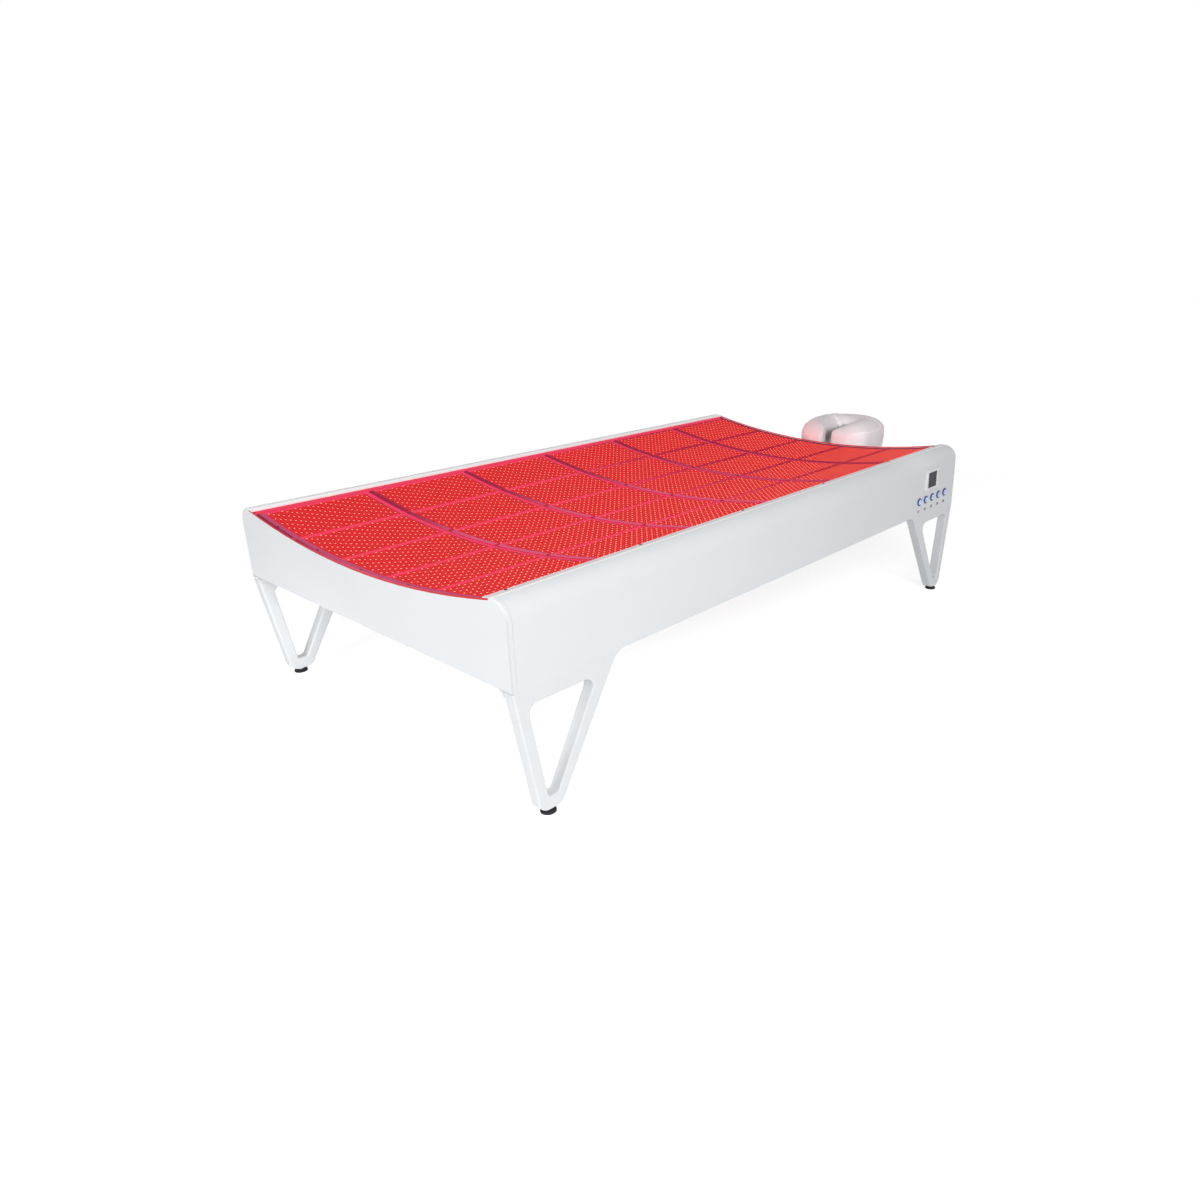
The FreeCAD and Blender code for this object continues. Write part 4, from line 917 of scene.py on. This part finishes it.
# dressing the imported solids


def panel_looks():
    """Materials of the body, each with the nodes that wear it."""
    return {
        # Side and end panels get painted red light where they reach under the cover.
        powder_coat("side_powder_white", PANEL_WHITE, glow=(0.62, 0.034, 0.084)): [
            "near_side_panel",
            "far_side_panel",
        ],
        powder_coat("end_powder_white", PANEL_WHITE, glow=(0.12, 0.016, 0.05)): [
            "foot_end_panel",
            "head_end_panel",
        ],
        powder_coat("leg_powder_white", (0.83, 0.85, 0.875), 0.05): [
            f"leg_{corner}" for corner in CORNERS
        ],
        powder_coat("pan_powder_white", (0.74, 0.75, 0.77)): ["base_pan"],
        painted_strip(): ["near_rim_strip", "far_rim_strip"],
        screw_black("rim_screw_black", far_white=True): ["rim_screws"],
        moulded_plastic("foot_rubber_black", (0.014, 0.014, 0.016), 0.62, 1.2, 0.12): [
            f"foot_pad_{corner}" for corner in CORNERS
        ],
    }


def deck_looks():
    """Materials of the deck, each with the nodes that wear it."""
    return {
        board_lacquer(): [f"led_boards_row_{row}" for row in range(1, ROWS + 1)],
        bar_paint(): ["board_end_bars"],
        screw_black("board_screw_black"): ["board_screws"],
        clear_acrylic(): ["clear_cover"],
        brushed_metal("frame_zinc", (0.52, 0.53, 0.55), 0.42): ["deck_ribs"],
        # Rails and deck sheet: rose colour and glow are painted red light from the boards.
        rose_glow("rail_red_glow", (0.40, 0.06, 0.12), (0.42, 0.034, 0.08)): [
            "near_rail",
            "far_rail",
        ],
        rose_glow("deck_sheet_red_glow", (0.20, 0.020, 0.05), (0.78, 0.052, 0.125)): ["deck_sheet"],
    }


def fitting_looks():
    """Materials of the controls, supplies and face rest, each with the nodes that wear it."""
    steel = brushed_metal("bright_steel", (0.62, 0.62, 0.63), 0.26)
    black_steel = (0.014, 0.013, 0.016)
    looks = {
        steel: ["leg_bolts", "foot_lock_nuts", "slide_rods", "tilt_pin", "bush_nuts"]
        + [f"foot_stud_{corner}" for corner in CORNERS],
        brushed_metal("black_oxide_steel", black_steel, 0.45, (1, 1, 1), 0.0): ["clamp_lever"],
        moulded_plastic("black_nylon", (0.022, 0.022, 0.026)): [
            "switch_blocks",
            "mains_inlet",
            "rocker_switch",
            "rod_bushes",
        ],
        moulded_plastic("bezel_lilac_white", (0.95, 0.94, 0.97), 0.34, 0.7, 0.03): [
            "display_bezel"
        ],
        screen_glass(): ["display_module"],
        moulded_plastic("ring_dark_blue", (0.020, 0.034, 0.150), 0.30): ["button_rings"],
        circuit_lacquer(): ["button_board", "control_board"],
        brushed_metal("supply_case_zinc", (0.66, 0.67, 0.68), 0.38, (1, 30, 1)): [
            f"power_supply_{number}" for number in (1, 2, 3)
        ],
        powder_coat("cradle_powder_black", (0.030, 0.030, 0.034)): ["crossbar", "tilt_arms"],
        birch_ply(): ["cradle_plate"],
        leatherette("cushion_solid_white", (0.80, 0.79, 0.80), (0.72, 0.70, 0.72)): [
            "face_cushion"
        ],
    }
    for number in BUTTONS:
        looks[button_face(number)] = [f"button_{number}"]
    return looks


def dress():
    for looks in (panel_looks(), deck_looks(), fitting_looks()):
        for material, names in looks.items():
            for name in names:
                mesh = nodes[name].data
                mesh.materials.clear()
                mesh.materials.append(material)


# light, floor and camera, in metres

SKY_LEVEL = 0.34
FLOOR_REACH = 4.5
FLOOR_FADE = (1.4, FLOOR_REACH * 0.7)
FLOOR_SHINE = 0.62

CAMERA_PLACE = (-2.0862, -1.83425, 1.10862)
CAMERA_TURN = (69.866, 0.172, -49.879)
CAMERA_SENSOR, CAMERA_LENS = 36, 26.475
CAMERA_SHIFT = (-0.084, -0.01255)


def seen_ray(f):
    """1 for rays from the camera, or mirrored or refracted ones: they see the white background."""
    rays = f.node("LightPath").socket.node.outputs
    kinds = ("Camera", "Glossy", "Transmission")
    camera, glossy, clear = [Wire(f, rays[f"Is {kind} Ray"]) for kind in kinds]
    return camera | glossy | clear


def white_sky():
    sky = bpy.data.worlds.new("studio_white")
    sky.use_nodes = True
    scene.world = sky
    f = Finish(sky.node_tree, "ShaderNodeOutputWorld")
    level = seen_ray(f) * (1 - SKY_LEVEL) + SKY_LEVEL
    f.end(f.node("Background", None, {"Color": (1, 1, 1, 1), "Strength": level}))


def white_floor():
    """A round white floor that fades into the background."""
    mesh = bpy.data.meshes.new("studio_floor")
    sketch = bmesh.new()
    bmesh.ops.create_circle(sketch, cap_ends=True, segments=96, radius=FLOOR_REACH)
    sketch.to_mesh(mesh)
    sketch.free()
    material, f = new_finish("floor_white")
    x, y = f.axes("XY")
    fade = f.step((x * x + y * y) ** 0.5, *FLOOR_FADE)
    lit = f.node("BsdfDiffuse", None, {"Color": (0.9, 0.9, 0.9, 1)})
    level = seen_ray(f) * FLOOR_SHINE
    shine = f.node("Emission", None, {"Color": (1, 1, 1, 1), "Strength": level})
    floor_light = f.node("AddShader", None, {0: lit, 1: shine})
    f.end(f.node("MixShader", None, {0: fade, 1: floor_light, 2: f.node("BsdfTransparent")}))
    mesh.materials.append(material)
    floor = bpy.data.objects.new("studio_floor", mesh)
    scene.collection.objects.link(floor)
    floor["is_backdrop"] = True


def soft_lamp(name, place, aim, size, power, spread=180, colour=(1, 1, 1)):
    lamp = bpy.data.lights.new(name, "AREA")
    lamp.shape = "DISK"
    lamp.size = size
    lamp.energy = power
    lamp.spread = math.radians(spread)
    lamp.color = colour
    holder = bpy.data.objects.new(name, lamp)
    holder.location = place
    holder.rotation_euler = (Vector(aim) - Vector(place)).to_track_quat("-Z", "Y").to_euler()
    scene.collection.objects.link(holder)


def lamps():
    """Two broad lamps, and small ones for the face rest, the far leg and the deck's red glow."""
    red = (1, 0.10, 0.12)
    soft_lamp("side_lamp", (-2.0, -3.0, 2.0), (-0.6, -0.5, 0.35), 1.8, 64)
    soft_lamp("foot_lamp", (-3.4, -0.2, 1.5), (-1.1, 0.0, 0.35), 1.2, 27)
    soft_lamp("face_rest_lamp", (-0.3, -1.5, 0.95), (0.97, 0.0, 0.49), 0.15, 0.085, 14)
    soft_lamp("far_leg_lamp", (-1.8, -1.2, 0.15), (-1.02, 0.55, 0.15), 0.15, 0.115, 20)
    soft_lamp("deck_glow_lamp", (0.42, 0.46, 0.50), (0.90, 0.05, 0.46), 0.15, 0.065, 30, red)


def photo_camera():
    lens = bpy.data.cameras.new("photo_camera")
    lens.sensor_width = CAMERA_SENSOR
    lens.lens = CAMERA_LENS
    lens.shift_x, lens.shift_y = CAMERA_SHIFT
    camera = bpy.data.objects.new("photo_camera", lens)
    camera.location = CAMERA_PLACE
    camera.rotation_euler = [math.radians(angle) for angle in CAMERA_TURN]
    scene.collection.objects.link(camera)
    scene.camera = camera


photo_camera()
scene.view_settings.view_transform = "Standard"
dress()

red_lens = diode_lens(
    "diode_red",
    body=(0.62, 0.020, 0.025),
    core=(0.80, 0.052, 0.056),
    base=(0.12, 0.005, 0.006),
    strength=1.0,
)
amber_lens = diode_lens(
    "diode_amber",
    body=(0.40, 0.013, 0.015),
    core=(1.0, 0.50, 0.30),
    base=(0.12, 0.006, 0.006),
    strength=1.6,
)
for row in range(ROWS):
    diode_field(row, red_lens, amber_lens)

button_marks(moulded_plastic("mark_blue", (0.050, 0.150, 0.60), 0.4))
button_numbers(moulded_plastic("number_grey", (0.035, 0.035, 0.040), 0.5))

hide = leatherette("cushion_leatherette", (0.80, 0.755, 0.775), (0.73, 0.680, 0.705))
# The piping and shoulder seams are paler than the hide: a painted highlight along them.
piping_hide = leatherette("piping_leatherette", (0.93, 0.89, 0.90), (0.87, 0.83, 0.84))
# Grey stitching under the piping, which also paints in the line of shade below the piping.
grey_thread = leatherette("stitching_grey", (0.42, 0.39, 0.40), (0.34, 0.31, 0.32))
cushion = stuffed_cushion(hide)
cushion_seams(cushion, piping_hide, grey_thread)

white_sky()
white_floor()
lamps()

visual_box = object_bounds()
{"cad": [list(corner) for corner in cad_box], "visual": [list(corner) for corner in visual_box]}
